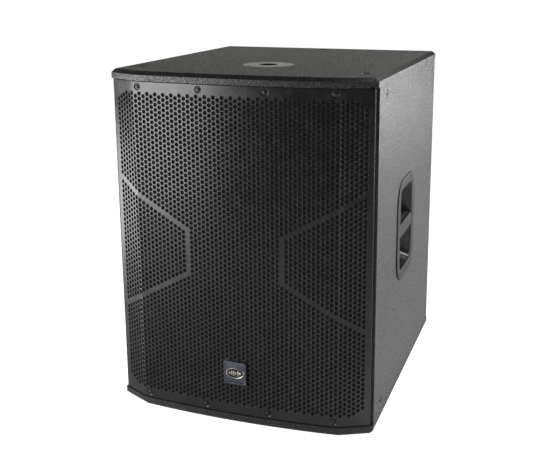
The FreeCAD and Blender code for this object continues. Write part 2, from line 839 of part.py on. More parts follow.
def tube(points, radius):
    """A round cable along straight runs joined by tangent arcs."""
    runs = [b - a for a, b in zip(points, points[1:])]
    edges = []
    start = points[0]
    for k, corner in enumerate(points[1:-1]):
        before = vec(*runs[k]).normalize()
        after = vec(*runs[k + 1]).normalize()
        turn = before.getAngle(after)
        reach = 0.45 * min(runs[k].Length, runs[k + 1].Length)
        bend = reach / math.tan(turn / 2)
        entry = corner - before * reach
        leave = corner + after * reach
        towards = (after - before).normalize()
        centre = corner + towards * (bend / math.cos(turn / 2))
        middle = centre - towards * bend
        edges.append(Part.LineSegment(start, entry).toShape())
        edges.append(Part.Arc(entry, middle, leave).toShape())
        start = leave
    edges.append(Part.LineSegment(start, points[-1]).toShape())
    section = Part.Wire(Part.makeCircle(radius, points[0], runs[0]))
    return Part.Wire(edges).makePipeShell([section], True, False)


def make_speaker_cables():
    cables = []
    for side in (-1, 1):
        x = side * CABLE_X
        route = [
            vec(x, BACK_OUTER - AMP_DEPTH, 380),
            vec(x, 140, 380),
            vec(x, 75, 470),
            vec(x, -20, 500),
            vec(x, -85, TERMINAL_Z),
            vec(x, TERMINAL_Y + 15, TERMINAL_Z),
        ]
        cables.append(tube(route, CABLE_R))
    return Part.makeCompound(cables)


def amp_screw_places():
    reach_x = AMP_WIDTH / 2 - 8
    reach_z = AMP_HEIGHT / 2 - 8
    for side in (-1, 1):
        for share in (-1, -0.34, 0.34, 1):
            yield vec(side * reach_x, AMP_OUTER, AMP_Z + share * reach_z)
        yield vec(0, AMP_OUTER, AMP_Z + side * reach_z)


def socket_places():
    """(x, z, is an input) of the four round signal sockets."""
    for z in SOCKET_Z:
        yield INPUT_X, z, True
        yield OUTPUT_X, z, False


def make_amp_plate():
    plate = rounded_block(
        -AMP_WIDTH / 2,
        AMP_WIDTH / 2,
        BACK_OUTER,
        AMP_OUTER,
        AMP_Z - AMP_HEIGHT / 2,
        AMP_Z + AMP_HEIGHT / 2,
        5.0,
        Y,
    )
    holes = [(p.x, p.z, 2.1) for p in amp_screw_places()]
    holes += [(x, z, 12.0) for x, z, _ in socket_places()]
    holes += [(KNOB_X, z, 3.6) for z in KNOB_Z]
    holes += [(x, LENS_Z, 2.6) for x in LENS_X]
    for x, z, radius in holes:
        plate = plate.cut(rod(radius, vec(x, BACK_OUTER - 1, z), vec(x, AMP_OUTER + 1, z)))
    front, back = BACK_OUTER - 1, AMP_OUTER + 1
    plate = plate.cut(
        box(BUTTON_X - 4.5, BUTTON_X + 4.5, front, back, BUTTON_Z - 4.5, BUTTON_Z + 4.5)
    )
    plate = plate.cut(box(INLET_X - 14, INLET_X + 14, front, back, POWER_Z - 10, POWER_Z + 10))
    return plate.cut(box(ROCKER_X - 11, ROCKER_X + 11, front, back, POWER_Z - 14, POWER_Z + 14))


def make_amp_chassis():
    """A folded steel tub that closes the electronics off from the air in the cabinet."""
    x = AMP_WIDTH / 2 - 20
    z0 = AMP_Z - AMP_HEIGHT / 2 + 20
    z1 = AMP_Z + AMP_HEIGHT / 2 - 20
    front = BACK_OUTER - AMP_DEPTH
    tub = rounded_block(-x, x, front, BACK_OUTER, z0, z1, 4.0, Y)
    wall = 1.5
    return tub.cut(
        rounded_block(-x + wall, x - wall, front + wall, BACK_OUTER + 1, z0 + wall, z1 - wall, 2.5, Y)
    )


HEATSINK_Z0 = 306.0
HEATSINK_Z1 = 412.0
HEATSINK_FINS = 21


def make_heatsink():
    """A finned block on the upper part of the module's plate."""
    half = 120.0
    fin = 1.2  # half a fin's thickness
    y = AMP_OUTER
    sink = box(-half, half, y, y + 3, HEATSINK_Z0, HEATSINK_Z1)
    for k in range(HEATSINK_FINS):
        x = -half + fin + 2 * (half - fin) * k / (HEATSINK_FINS - 1)
        sink = sink.fuse(box(x - fin, x + fin, y + 2.5, y + 14, HEATSINK_Z0, HEATSINK_Z1))
    return sink.removeSplitter()


def make_amp_board():
    """The circuit board, standing off the module's plate."""
    y = BACK_OUTER - 34
    return box(-118, 118, y - 1.6, y, 100, 396)


def make_board_components():
    """Capacitors, a transformer and the output stage's heat spreader on the board."""
    y = BACK_OUTER - 35.6
    parts = []
    for k in range(4):
        x = -80 + 36 * k
        parts.append(rod(15.0, vec(x, y, 345), vec(x, y - 42, 345)))
    parts.append(rounded_block(-90, -25, y - 45, y, 200, 262, 4.0, Y))
    parts.append(box(10, 100, y - 30, y, 215, 245))
    return Part.makeCompound(parts)


def make_signal_socket(x, z, is_input):
    """A three-pole round socket: holes on an input, pins on an output."""
    y = AMP_OUTER
    flange = rounded_block(x - 13, x + 13, y, y + 2, z - 15.5, z + 15.5, 3.0, Y)
    body = flange.fuse(rod(11.9, vec(x, y - 22, z), vec(x, y + 0.5, z))).removeSplitter()
    pins = list(around(3, 90 if is_input else -90, 4.4, x, z))
    if is_input:
        body = body.cut(ring_y(9.6, 7.9, y - 12, y + 3, x, z))
        for px, pz in pins:
            body = body.cut(rod(1.4, vec(px, y - 12, pz), vec(px, y + 3, pz)))
        return [body]
    body = body.cut(rod(8.9, vec(x, y - 14, z), vec(x, y + 3, z)))
    return [body] + [rod(1.2, vec(px, y - 14, pz), vec(px, y - 1, pz)) for px, pz in pins]


def make_sockets(is_input):
    parts = []
    for x, z, kind in socket_places():
        if kind == is_input:
            parts += make_signal_socket(x, z, is_input)
    return Part.makeCompound(parts)


def make_mains_inlet():
    """A three-pin appliance inlet with a side flange."""
    y = AMP_OUTER
    flange = rounded_block(INLET_X - 25, INLET_X + 25, y, y + 2.5, POWER_Z - 12, POWER_Z + 12, 4.0, Y)
    body = flange.fuse(
        box(INLET_X - 13.8, INLET_X + 13.8, y - 22, y + 0.5, POWER_Z - 9.8, POWER_Z + 9.8)
    )
    body = body.removeSplitter().cut(
        rounded_block(INLET_X - 12, INLET_X + 12, y - 15, y + 3, POWER_Z - 8, POWER_Z + 8, 2.0, Y)
    )
    pins = []
    for dx, dz in ((-7, -2), (7, -2), (0, 2)):
        x, z = INLET_X + dx, POWER_Z + dz
        pins.append(box(x - 1, x + 1, y - 15, y - 1.5, z - 2, z + 2))
    return Part.makeCompound([body, *pins])


def make_status_lenses():
    lenses = []
    for x in LENS_X:
        stem = rod(2.5, vec(x, BACK_OUTER - 6, LENS_Z), vec(x, AMP_OUTER + 1, LENS_Z))
        lenses.append(stem.fuse(Part.makeSphere(2.5, vec(x, AMP_OUTER + 1, LENS_Z))).removeSplitter())
    return Part.makeCompound(lenses)


def make_pots():
    """The two rotary controls' bodies, each with a threaded neck bored for its shaft."""
    pots = []
    for z in KNOB_Z:
        neck = rod(3.5, vec(KNOB_X, BACK_OUTER - 8, z), vec(KNOB_X, AMP_OUTER + 3.5, z))
        body = rod(8.5, vec(KNOB_X, BACK_OUTER - 18, z), vec(KNOB_X, BACK_OUTER - 3, z))
        nut = rod(5.5, vec(KNOB_X, AMP_OUTER, z), vec(KNOB_X, AMP_OUTER + 2, z))
        bore = rod(3.05, vec(KNOB_X, BACK_OUTER - 12, z), vec(KNOB_X, AMP_OUTER + 5, z))
        pots.append(neck.fuse(body).fuse(nut).removeSplitter().cut(bore))
    return Part.makeCompound(pots)


def make_knob(z):
    """A skirted knob on its shaft, with a pointer groove."""
    front = AMP_OUTER + 4.0
    shaft = rod(3.0, vec(KNOB_X, BACK_OUTER - 10, z), vec(KNOB_X, front + 1, z))
    cap = Part.makeCone(KNOB_R, KNOB_R - 1.5, 11.5, vec(KNOB_X, front, z), Y)
    knob = cap.fuse(shaft).removeSplitter()
    groove = box(KNOB_X - 0.6, KNOB_X + 0.6, front + 10.7, front + 12, z, z + KNOB_R)
    return knob.cut(groove)


ROCKER_PIVOT_Y = AMP_OUTER - 3.0
ROCKER_TILT = 9.0


def make_switch_frame():
    y = AMP_OUTER
    frame = rounded_block(
        ROCKER_X - 12.5, ROCKER_X + 12.5, y, y + 2, POWER_Z - 15.5, POWER_Z + 15.5, 1.5, Y
    )
    frame = frame.fuse(
        box(ROCKER_X - 10.8, ROCKER_X + 10.8, y - 18, y + 0.5, POWER_Z - 13.8, POWER_Z + 13.8)
    )
    frame = frame.removeSplitter()
    frame = frame.cut(box(ROCKER_X - 9, ROCKER_X + 9, y - 14, y + 3, POWER_Z - 12.3, POWER_Z + 12.3))
    pivot = vec(ROCKER_X, ROCKER_PIVOT_Y, POWER_Z)
    return frame.cut(rod(1.6, pivot - X * 10.2, pivot + X * 10.2))


def make_rocker():
    """A rocker shown pressed at its upper end, with pivot stubs at its sides."""
    outline = [
        vec(ROCKER_X - 8.6, AMP_OUTER - 8.0, POWER_Z - 5.0),
        vec(ROCKER_X - 8.6, AMP_OUTER + 2.6, POWER_Z - 11.2),
        vec(ROCKER_X - 8.6, AMP_OUTER + 1.4, POWER_Z),
        vec(ROCKER_X - 8.6, AMP_OUTER + 2.6, POWER_Z + 11.2),
        vec(ROCKER_X - 8.6, AMP_OUTER - 8.0, POWER_Z + 5.0),
    ]
    rocker = polygon_face(outline).extrude(X * 17.2)
    pivot = vec(ROCKER_X, ROCKER_PIVOT_Y, POWER_Z)
    rocker = rocker.fuse(rod(1.55, pivot - X * 10.1, pivot + X * 10.1)).removeSplitter()
    rocker.rotate(pivot, X, ROCKER_TILT)
    return rocker


def make_button_body():
    y = BACK_OUTER
    half = 6.5
    bore = 3.55
    body = box(BUTTON_X - half, BUTTON_X + half, y - 16, y - 0.05, BUTTON_Z - half, BUTTON_Z + half)
    return body.cut(
        box(BUTTON_X - bore, BUTTON_X + bore, y - 13, y + 1, BUTTON_Z - bore, BUTTON_Z + bore)
    )


def make_button():
    y = AMP_OUTER
    return rounded_block(
        BUTTON_X - 3.5, BUTTON_X + 3.5, y - 11, y + 4, BUTTON_Z - 3.5, BUTTON_Z + 3.5, 0.8, Y
    )


def make_grille_screws():
    """Low round heads, standing just clear of the bowed sheet."""
    head_r = 4.2
    screws = []
    for point in grille_screw_places():
        lift = 0.05 + head_r * abs(point.x) / BOW_R
        screws.append(pan_screw(point - Y * lift, Y, head_r, 1.8, 1.85, 17.0, 2.5))
    return Part.makeCompound(screws)


def make_handle_screws():
    screws = []
    for side in (-1, 1):
        for point in handle_screw_places(side):
            screws.append(flush_screw(point, X * -side, 3.9, 1.55, 15.0, 2.5))
    return Part.makeCompound(screws)


def make_amp_screws():
    return Part.makeCompound(
        [pan_screw(p, -Y, 3.6, 2.2, 1.65, 15.0, 2.5) for p in amp_screw_places()]
    )


def build():
    nodes = {
        "top_panel": make_top_panel(),
        "bottom_panel": make_bottom_panel(),
        "back_panel": make_back_panel(),
        "baffle_board": make_baffle(),
        "window_brace": make_brace(),
        "port_shelves": Part.makeCompound([make_port_board(2, side) for side in (-1, 1)]),
        "grille_rails": make_rails(),
        "grille": make_grille(),
        "grille_foam": make_grille_foam(),
        "grille_screws": make_grille_screws(),
        "badge_plate": make_badge_plate(),
        "badge_emblem": make_badge_emblem(),
        "pole_socket": make_pole_socket(),
        "pole_socket_screws": Part.makeCompound(
            [flush_screw(p, -Z, 4.0, 1.95, 14.0, 2.5) for p in pole_screw_places()]
        ),
        "rigging_inserts": Part.makeCompound(
            [make_rigging_insert(*place) for place in rigging_places()]
        ),
        "rigging_screws": Part.makeCompound(
            [
                flush_screw(*place, RIG_HEAD_R, RIG_BORE_R - 0.05, 16.0, 6.0)
                for place in rigging_places()
            ]
        ),
        "handle_screws": make_handle_screws(),
        "foot_screws": Part.makeCompound(
            [pan_screw(p + Z * 4, Z, 4.0, 2.0, 1.95, 16.0, 2.0) for _, p in foot_places()]
        ),
        "woofer_frame": make_woofer_frame(),
        "woofer_gasket": make_gasket(),
        "magnet_top_plate": make_magnet_top_plate(),
        "magnet_ring": make_magnet_ring(),
        "magnet_yoke": make_magnet_yoke(),
        "woofer_bolts": make_woofer_bolts(),
        "woofer_tee_nuts": make_tee_nuts(),
        "woofer_terminals": make_terminals(),
        "speaker_cables": make_speaker_cables(),
        "surround": make_surround(),
        "spider": make_spider(),
        "cone": make_cone(),
        "dust_cap": make_dust_cap(),
        "coil_former": make_coil_former(),
        "coil_winding": make_coil_winding(),
        "amp_plate": make_amp_plate(),
        "amp_screws": make_amp_screws(),
        "amp_chassis": make_amp_chassis(),
        "heatsink": make_heatsink(),
        "amp_board": make_amp_board(),
        "board_components": make_board_components(),
        "signal_inputs": make_sockets(True),
        "signal_outputs": make_sockets(False),
        "mains_inlet": make_mains_inlet(),
        "status_lenses": make_status_lenses(),
        "control_pots": make_pots(),
        "level_knob": make_knob(KNOB_Z[0]),
        "crossover_knob": make_knob(KNOB_Z[1]),
        "power_switch_frame": make_switch_frame(),
        "power_rocker": make_rocker(),
        "polarity_switch_body": make_button_body(),
        "polarity_button": make_button(),
    }
    for name, centre in foot_places():
        nodes[name] = make_foot(centre)
    for hand, side in (("left", -1), ("right", 1)):
        nodes[f"side_panel_{hand}"] = make_side_panel(side)
        nodes[f"handle_{hand}"] = make_handle(side)
        nodes[f"port_wall_{hand}"] = Part.makeCompound(
            [make_port_board(k, side) for k in (0, 1)]
        )
    return nodes


os.makedirs("parts", exist_ok=True)
for name, shape in build().items():
    shape.exportStep(f"parts/{name}.step")
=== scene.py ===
import math

import bmesh
import bpy
from mathutils import Euler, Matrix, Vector


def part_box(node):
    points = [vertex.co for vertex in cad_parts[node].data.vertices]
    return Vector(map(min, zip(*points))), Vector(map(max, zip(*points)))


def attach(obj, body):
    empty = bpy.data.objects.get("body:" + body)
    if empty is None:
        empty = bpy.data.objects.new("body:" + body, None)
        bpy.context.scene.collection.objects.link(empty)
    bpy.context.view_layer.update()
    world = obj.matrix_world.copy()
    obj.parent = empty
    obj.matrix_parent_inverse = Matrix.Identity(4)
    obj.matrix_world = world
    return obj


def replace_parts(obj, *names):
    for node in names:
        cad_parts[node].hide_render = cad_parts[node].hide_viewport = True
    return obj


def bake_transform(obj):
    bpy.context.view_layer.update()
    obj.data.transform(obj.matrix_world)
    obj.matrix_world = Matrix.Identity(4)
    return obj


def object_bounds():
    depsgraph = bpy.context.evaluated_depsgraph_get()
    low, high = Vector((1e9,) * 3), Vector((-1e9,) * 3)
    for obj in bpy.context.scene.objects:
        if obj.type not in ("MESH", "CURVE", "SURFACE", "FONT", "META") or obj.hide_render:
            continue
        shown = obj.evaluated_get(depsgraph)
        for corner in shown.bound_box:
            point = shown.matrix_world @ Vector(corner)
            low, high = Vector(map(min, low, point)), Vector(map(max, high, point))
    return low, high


# Looks of a powered subwoofer cabinet: painted boards, perforated steel grille, moulded
# handles, woofer and rear module. Lengths written in millimetres are multiplied by MM.

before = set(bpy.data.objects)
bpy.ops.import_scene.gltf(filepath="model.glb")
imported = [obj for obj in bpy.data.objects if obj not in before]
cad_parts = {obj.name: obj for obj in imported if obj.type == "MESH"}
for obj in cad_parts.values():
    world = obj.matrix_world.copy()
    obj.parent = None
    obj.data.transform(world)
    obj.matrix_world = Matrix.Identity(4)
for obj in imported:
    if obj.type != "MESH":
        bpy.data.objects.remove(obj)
cad_low, cad_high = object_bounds()

MM = 0.001
CABINET = "cabinet"
ROUND = 24  # segments around a small round part


# Finishes


def set_socket(node, name, value):
    node.inputs[name].default_value = value


class Finish:
    """A node material that is built up layer by layer in the object's own coordinates."""

    def __init__(self, name, metallic=0.0, specular=0.5, coat=0.0, coat_roughness=0.1, sheen=0.0):
        self.material = bpy.data.materials.new(name)
        self.material.use_nodes = True
        self.tree = self.material.node_tree
        self.shader = self.tree.nodes["Principled BSDF"]
        set_socket(self.shader, "Metallic", metallic)
        set_socket(self.shader, "Specular IOR Level", specular)
        set_socket(self.shader, "Coat Weight", coat)
        set_socket(self.shader, "Coat Roughness", coat_roughness)
        set_socket(self.shader, "Sheen Weight", sheen)
        self.place = self.add("ShaderNodeTexCoord").outputs["Object"]
        self.normal = None
        self.colour = None

    def add(self, kind):
        return self.tree.nodes.new(kind)

    def link(self, source, target):
        self.tree.links.new(source, target)

    def stretched(self, stretch):
        """The object's coordinates, scaled along each axis for grain or brushing."""
        mapping = self.add("ShaderNodeMapping")
        set_socket(mapping, "Scale", stretch)
        self.link(self.place, mapping.inputs["Vector"])
        return mapping.outputs["Vector"]

    def noise(self, size, detail=3.0, stretch=(1, 1, 1)):
        """Noise whose patches are about size across."""
        node = self.add("ShaderNodeTexNoise")
        set_socket(node, "Scale", 1.0 / size)
        set_socket(node, "Detail", detail)
        self.link(self.stretched(stretch), node.inputs["Vector"])
        return node.outputs["Fac"]

    def pebbles(self, size):
        """Rounded grains about size across."""
        node = self.add("ShaderNodeTexVoronoi")
        node.feature = "SMOOTH_F1"
        set_socket(node, "Scale", 1.0 / size)
        self.link(self.place, node.inputs["Vector"])
        return node.outputs["Distance"]

    def rings(self, size, axis, distortion):
        """Parallel bands, as in wood or a pressed sheet."""
        node = self.add("ShaderNodeTexWave")
        node.bands_direction = axis
        set_socket(node, "Scale", 1.0 / size)
        set_socket(node, "Distortion", distortion)
        set_socket(node, "Detail", 3.0)
        self.link(self.place, node.inputs["Vector"])
        return node.outputs["Fac"]

    def ramp(self, source, low, high, from_low=0.35, from_high=0.65):
        """A value or a colour that runs from low to high as the source does."""
        node = self.add("ShaderNodeMapRange")
        node.clamp = True
        set_socket(node, "From Min", from_low)
        set_socket(node, "From Max", from_high)
        set_socket(node, "To Min", low)
        set_socket(node, "To Max", high)
        self.link(source, node.inputs["Value"])
        return node.outputs["Result"]

    def mixed(self, share, first, second):
        """A blend of two colours, each a tuple or a socket."""
        node = self.add("ShaderNodeMix")
        node.data_type = "RGBA"
        self.link(share, node.inputs[0])
        for socket, colour in ((node.inputs[6], first), (node.inputs[7], second)):
            if isinstance(colour, tuple):
                socket.default_value = (*colour, 1.0)
            else:
                self.link(colour, socket)
        return node.outputs[2]

    def edges(self, radius):
        """1 on sharp outer and inner edges, 0 on flat ground."""
        rounded = self.add("ShaderNodeBevel")
        rounded.samples = 4
        set_socket(rounded, "Radius", radius)
        sharp = self.add("ShaderNodeNewGeometry")
        dot = self.add("ShaderNodeVectorMath")
        dot.operation = "DOT_PRODUCT"
        self.link(rounded.outputs["Normal"], dot.inputs[0])
        self.link(sharp.outputs["Normal"], dot.inputs[1])
        return self.ramp(dot.outputs["Value"], 1.0, 0.0, 0.88, 0.995)

    def paint(self, dark, light, size, detail=3.0, stretch=(1, 1, 1)):
        """Colour that drifts between two tones, in patches about size across."""
        share = self.ramp(self.noise(size, detail, stretch), 0.0, 1.0)
        self.colour = self.mixed(share, dark, light)
        return self

    def speckle(self, tone, size, amount):
        """Small flecks of a second tone."""
        share = self.ramp(self.noise(size, 1.0), 0.0, amount, 0.5, 0.68)
        self.colour = self.mixed(share, self.colour, tone)
        return self

    def edge_wear_and_highlight(self, tone, radius, amount):
        """Edges turned to another tone, unevenly: worn edges on most finishes, and on the grille mostly a
        painted highlight on the hole rims.
        """
        edge_tone_share = self.add("ShaderNodeMath")
        edge_tone_share.operation = "MULTIPLY"
        self.link(self.edges(radius), edge_tone_share.inputs[0])
        self.link(self.ramp(self.noise(6 * MM), 0.0, amount, 0.4, 0.65), edge_tone_share.inputs[1])
        self.colour = self.mixed(edge_tone_share.outputs["Value"], self.colour, tone)
        return self

    def bump(self, height_source, depth):
        node = self.add("ShaderNodeBump")
        set_socket(node, "Distance", depth)
        self.link(height_source, node.inputs["Height"])
        if self.normal:
            self.link(self.normal, node.inputs["Normal"])
        self.normal = node.outputs["Normal"]
        return self

    def gloss(self, low, high, size=12 * MM, stretch=(1, 1, 1)):
        """Roughness that varies between two values."""
        self.link(self.ramp(self.noise(size, 2.0, stretch), low, high), self.shader.inputs["Roughness"])
        return self

    def done(self):
        self.link(self.colour, self.shader.inputs["Base Color"])
        if self.normal:
            self.link(self.normal, self.shader.inputs["Normal"])
        return self.material


def structure_paint(name, dark, light):
    """Thick black cabinet paint, sprayed so that it dries in small pebbles."""
    look = Finish(name, specular=0.5)
    look.paint(dark, light, 5 * MM).speckle((0.045, 0.045, 0.044), 3.0 * MM, 0.6)
    look.edge_wear_and_highlight((0.030, 0.030, 0.029), 1.0 * MM, 0.3)
    look.bump(look.noise(2.9 * MM, 0.0), 0.46 * MM)
    look.bump(look.pebbles(2.0 * MM), 0.12 * MM)
    return look.gloss(0.22, 0.64, 2.8 * MM).done()


def plastic(name, dark, light, gloss, grain=0.8 * MM, depth=0.03 * MM, specular=0.5):
    """Moulded or sprayed, with a fine grain and edges worn paler."""
    look = Finish(name, specular=specular)
    look.paint(dark, light, 25 * MM)
    look.edge_wear_and_highlight(tuple(1.8 * c + 0.01 for c in light), 0.5 * MM, 0.5)
    look.bump(look.noise(grain, 2.0), depth)
    return look.gloss(*gloss).done()


def metal(name, dark, light, gloss, size=18 * MM, stretch=(1, 1, 1), depth=0.02 * MM):
    """Bare metal with brushing and brighter edges."""
    look = Finish(name, metallic=1.0)
    look.paint(dark, light, size, 4.0, stretch)
    look.edge_wear_and_highlight(tuple(min(1.0, 1.5 * c) for c in light), 0.5 * MM, 0.6)
    look.bump(look.noise(1.2 * MM, 3.0, stretch), depth)
    return look.gloss(*gloss, size=5 * MM, stretch=stretch).done()


def plywood():
    look = Finish("bare_board", specular=0.3)
    bands = look.ramp(look.rings(9 * MM, "Z", 5.0), 0.0, 1.0, 0.2, 0.9)
    look.colour = look.mixed(bands, (0.42, 0.27, 0.14), (0.60, 0.43, 0.25))
    look.speckle((0.30, 0.18, 0.09), 5 * MM, 0.5)
    look.bump(look.noise(1.6 * MM, 4.0, (1, 1, 0.2)), 0.08 * MM)
    return look.gloss(0.55, 0.75).done()


def powder_coat():
    """Fine-grained black powder coat on the steel grille."""
    look = Finish("grille_steel", specular=0.6)
    look.paint((0.006, 0.006, 0.0068), (0.010, 0.010, 0.0112), 60 * MM)
    # Paler hole rims: mostly a painted highlight where the punched edges would catch the light, partly a
    # worn coat.
    look.edge_wear_and_highlight((0.07, 0.07, 0.075), 0.35 * MM, 0.6)
    look.bump(look.noise(0.9 * MM, 2.0), 0.03 * MM)
    return look.gloss(0.23, 0.30, 30 * MM).done()


def flat_black(name, specular):
    """Thin matt black stain, rolled on."""
    look = Finish(name, specular=specular)
    look.paint((0.0035, 0.0035, 0.0035), (0.0065, 0.0065, 0.0065), 20 * MM)
    look.bump(look.noise(2.5 * MM, 3.0), 0.10 * MM)
    return look.gloss(0.75, 0.9).done()


def cone_paper():
    look = Finish("cone_paper", specular=0.25)
    look.paint((0.006, 0.006, 0.006), (0.013, 0.013, 0.012), 14 * MM, 5.0)
    look.speckle((0.03, 0.029, 0.028), 1.6 * MM, 0.4)
    look.bump(look.noise(1.1 * MM, 5.0), 0.10 * MM)
    return look.gloss(0.5, 0.7).done()


def woven_cloth(name, dark, light, thread):
    """Impregnated cloth with crossing threads."""
    look = Finish(name, specular=0.4, sheen=0.15)
    look.paint(dark, light, 12 * MM)
    look.bump(look.rings(thread, "X", 0.4), 0.10 * MM)
    look.bump(look.rings(thread, "Z", 0.4), 0.10 * MM)
    return look.gloss(0.55, 0.8).done()


def circuit_laminate():
    look = Finish("board_laminate", specular=0.5, coat=0.3)
    tracks = look.ramp(look.rings(3.2 * MM, "X", 2.5), 0.0, 1.0, 0.45, 0.55)
    look.colour = look.mixed(tracks, (0.010, 0.055, 0.022), (0.018, 0.10, 0.040))
    look.bump(look.noise(1.5 * MM), 0.03 * MM)
    return look.gloss(0.3, 0.45).done()


def lens_plastic():
    look = Finish("lens_plastic", coat=0.6)
    look.paint((0.05, 0.16, 0.05), (0.09, 0.28, 0.08), 4 * MM)
    look.bump(look.noise(0.6 * MM), 0.02 * MM)
    set_socket(look.shader, "Transmission Weight", 0.25)
    return look.gloss(0.12, 0.2, 3 * MM).done()


def dust_foam():
    """Open-cell foam: fine struts round pores, with the pores painted darker as shade."""
    look = Finish("dust_foam", specular=0.2)
    struts = look.ramp(look.pebbles(1.3 * MM), 0.0, 1.0, 0.1, 0.5)
    # The darker pore tone is painted shade in the pores.
    look.colour = look.mixed(struts, (0.003, 0.003, 0.0032), (0.014, 0.014, 0.0145))
    look.bump(look.pebbles(1.3 * MM), 0.5 * MM)
    return look.gloss(0.8, 0.95).done()


def panel_print():
    """Thin pale ink, slightly broken up."""
    look = Finish("panel_print", specular=0.3)
    look.paint((0.50, 0.50, 0.49), (0.66, 0.66, 0.65), 3 * MM)
    look.bump(look.noise(0.5 * MM), 0.02 * MM)
    return look.gloss(0.45, 0.6, 2 * MM).done()


def rubber():
    look = Finish("foot_rubber", specular=0.3)
    look.paint((0.012, 0.012, 0.012), (0.028, 0.027, 0.026), 9 * MM)
    look.speckle((0.10, 0.095, 0.085), 2.0 * MM, 0.35)
    look.bump(look.noise(0.8 * MM, 3.0), 0.08 * MM)
    return look.gloss(0.65, 0.85).done()


def grey(value):
    return (value, value, value)


PLASTICS = {
    # dark tone, light tone, roughness, and then the size and depth of the grain and the specular level
    "black_screw": (grey(0.006), grey(0.013), (0.32, 0.45)),
    "handle_plastic": (grey(0.012), (0.019, 0.019, 0.018), (0.44, 0.54), 0.9 * MM, 0.08 * MM, 0.22),
    "basket_metal": (grey(0.007), grey(0.013), (0.45, 0.6), 1.5 * MM, 0.08 * MM, 0.3),
    "gasket_foam": (grey(0.008), grey(0.014), (0.8, 0.95), 0.7 * MM, 0.2 * MM, 0.2),
    "magnet_ferrite": ((0.035, 0.034, 0.033), (0.06, 0.058, 0.056), (0.55, 0.75), 1.0 * MM, 0.1 * MM),
    "former_film": ((0.30, 0.15, 0.04), (0.42, 0.22, 0.07), (0.25, 0.4)),
    "terminal_plastic": (grey(0.03), grey(0.05), (0.35, 0.5)),
    "cable_jacket": (grey(0.02), grey(0.035), (0.45, 0.6)),
    "amp_metal": ((0.014, 0.014, 0.015), (0.024, 0.024, 0.025), (0.38, 0.5), 0.8 * MM, 0.06 * MM),
    "component_plastic": ((0.02, 0.025, 0.035), (0.03, 0.04, 0.055), (0.25, 0.4)),
    "connector_plastic": (grey(0.016), grey(0.03), (0.28, 0.42)),
    "knob_plastic": (grey(0.02), grey(0.035), (0.35, 0.5)),
    "button_plastic": (grey(0.10), grey(0.15), (0.35, 0.5)),
    # Near black: painted shade inside the pole socket's tube.
    "socket_bore_painted_shade": (grey(0.002), grey(0.004), (0.6, 0.75), 0.8 * MM, 0.03 * MM, 0.12),
    "pocket_gloss": ((0.010, 0.010, 0.011), (0.016, 0.016, 0.017), (0.16, 0.26), 2.5 * MM, 0.03 * MM, 0.6),
    "emblem_ground": ((0.008, 0.008, 0.010), (0.014, 0.014, 0.017), (0.15, 0.25)),
}
METALS = {
    # dark tone, light tone, roughness, and then the size, stretch and depth of the brushing
    "badge_metal": ((0.10, 0.105, 0.125), (0.15, 0.155, 0.18), (0.25, 0.36), 18 * MM, (1, 1, 7)),
    "emblem_metal": ((0.55, 0.50, 0.42), (0.78, 0.73, 0.64), (0.16, 0.28), 6 * MM),
    "socket_metal": ((0.76, 0.74, 0.69), (0.86, 0.84, 0.79), (0.42, 0.55), 18 * MM, (1, 1, 1), 0.06 * MM),
    "zinc_steel": ((0.42, 0.41, 0.36), (0.62, 0.61, 0.56), (0.28, 0.45)),
    "motor_steel": ((0.30, 0.30, 0.29), (0.46, 0.46, 0.45), (0.3, 0.5)),
    "coil_copper": ((0.62, 0.28, 0.15), (0.80, 0.40, 0.24), (0.25, 0.4), 3 * MM, (0.1, 12, 0.1)),
    "chassis_steel": ((0.42, 0.43, 0.43), (0.60, 0.61, 0.61), (0.25, 0.45), 30 * MM),
}
FINISHES = {
    "painted_board": structure_paint("painted_board", grey(0.008), (0.013, 0.013, 0.0125)),
    "black_board": flat_black("black_board", 0.135),
    "bare_board": plywood(),
    "grille_steel": powder_coat(),
    "foot_rubber": rubber(),
    "cone_paper": cone_paper(),
    "surround_cloth": woven_cloth("surround_cloth", grey(0.006), grey(0.011), 0.8 * MM),
    "spider_cloth": woven_cloth("spider_cloth", (0.35, 0.24, 0.11), (0.50, 0.36, 0.18), 0.9 * MM),
    "board_laminate": circuit_laminate(),
    "lens_plastic": lens_plastic(),
    "dust_foam": dust_foam(),
    "panel_print": panel_print(),
    **{name: plastic(name, *details) for name, details in PLASTICS.items()},
    **{name: metal(name, *details) for name, details in METALS.items()},
}

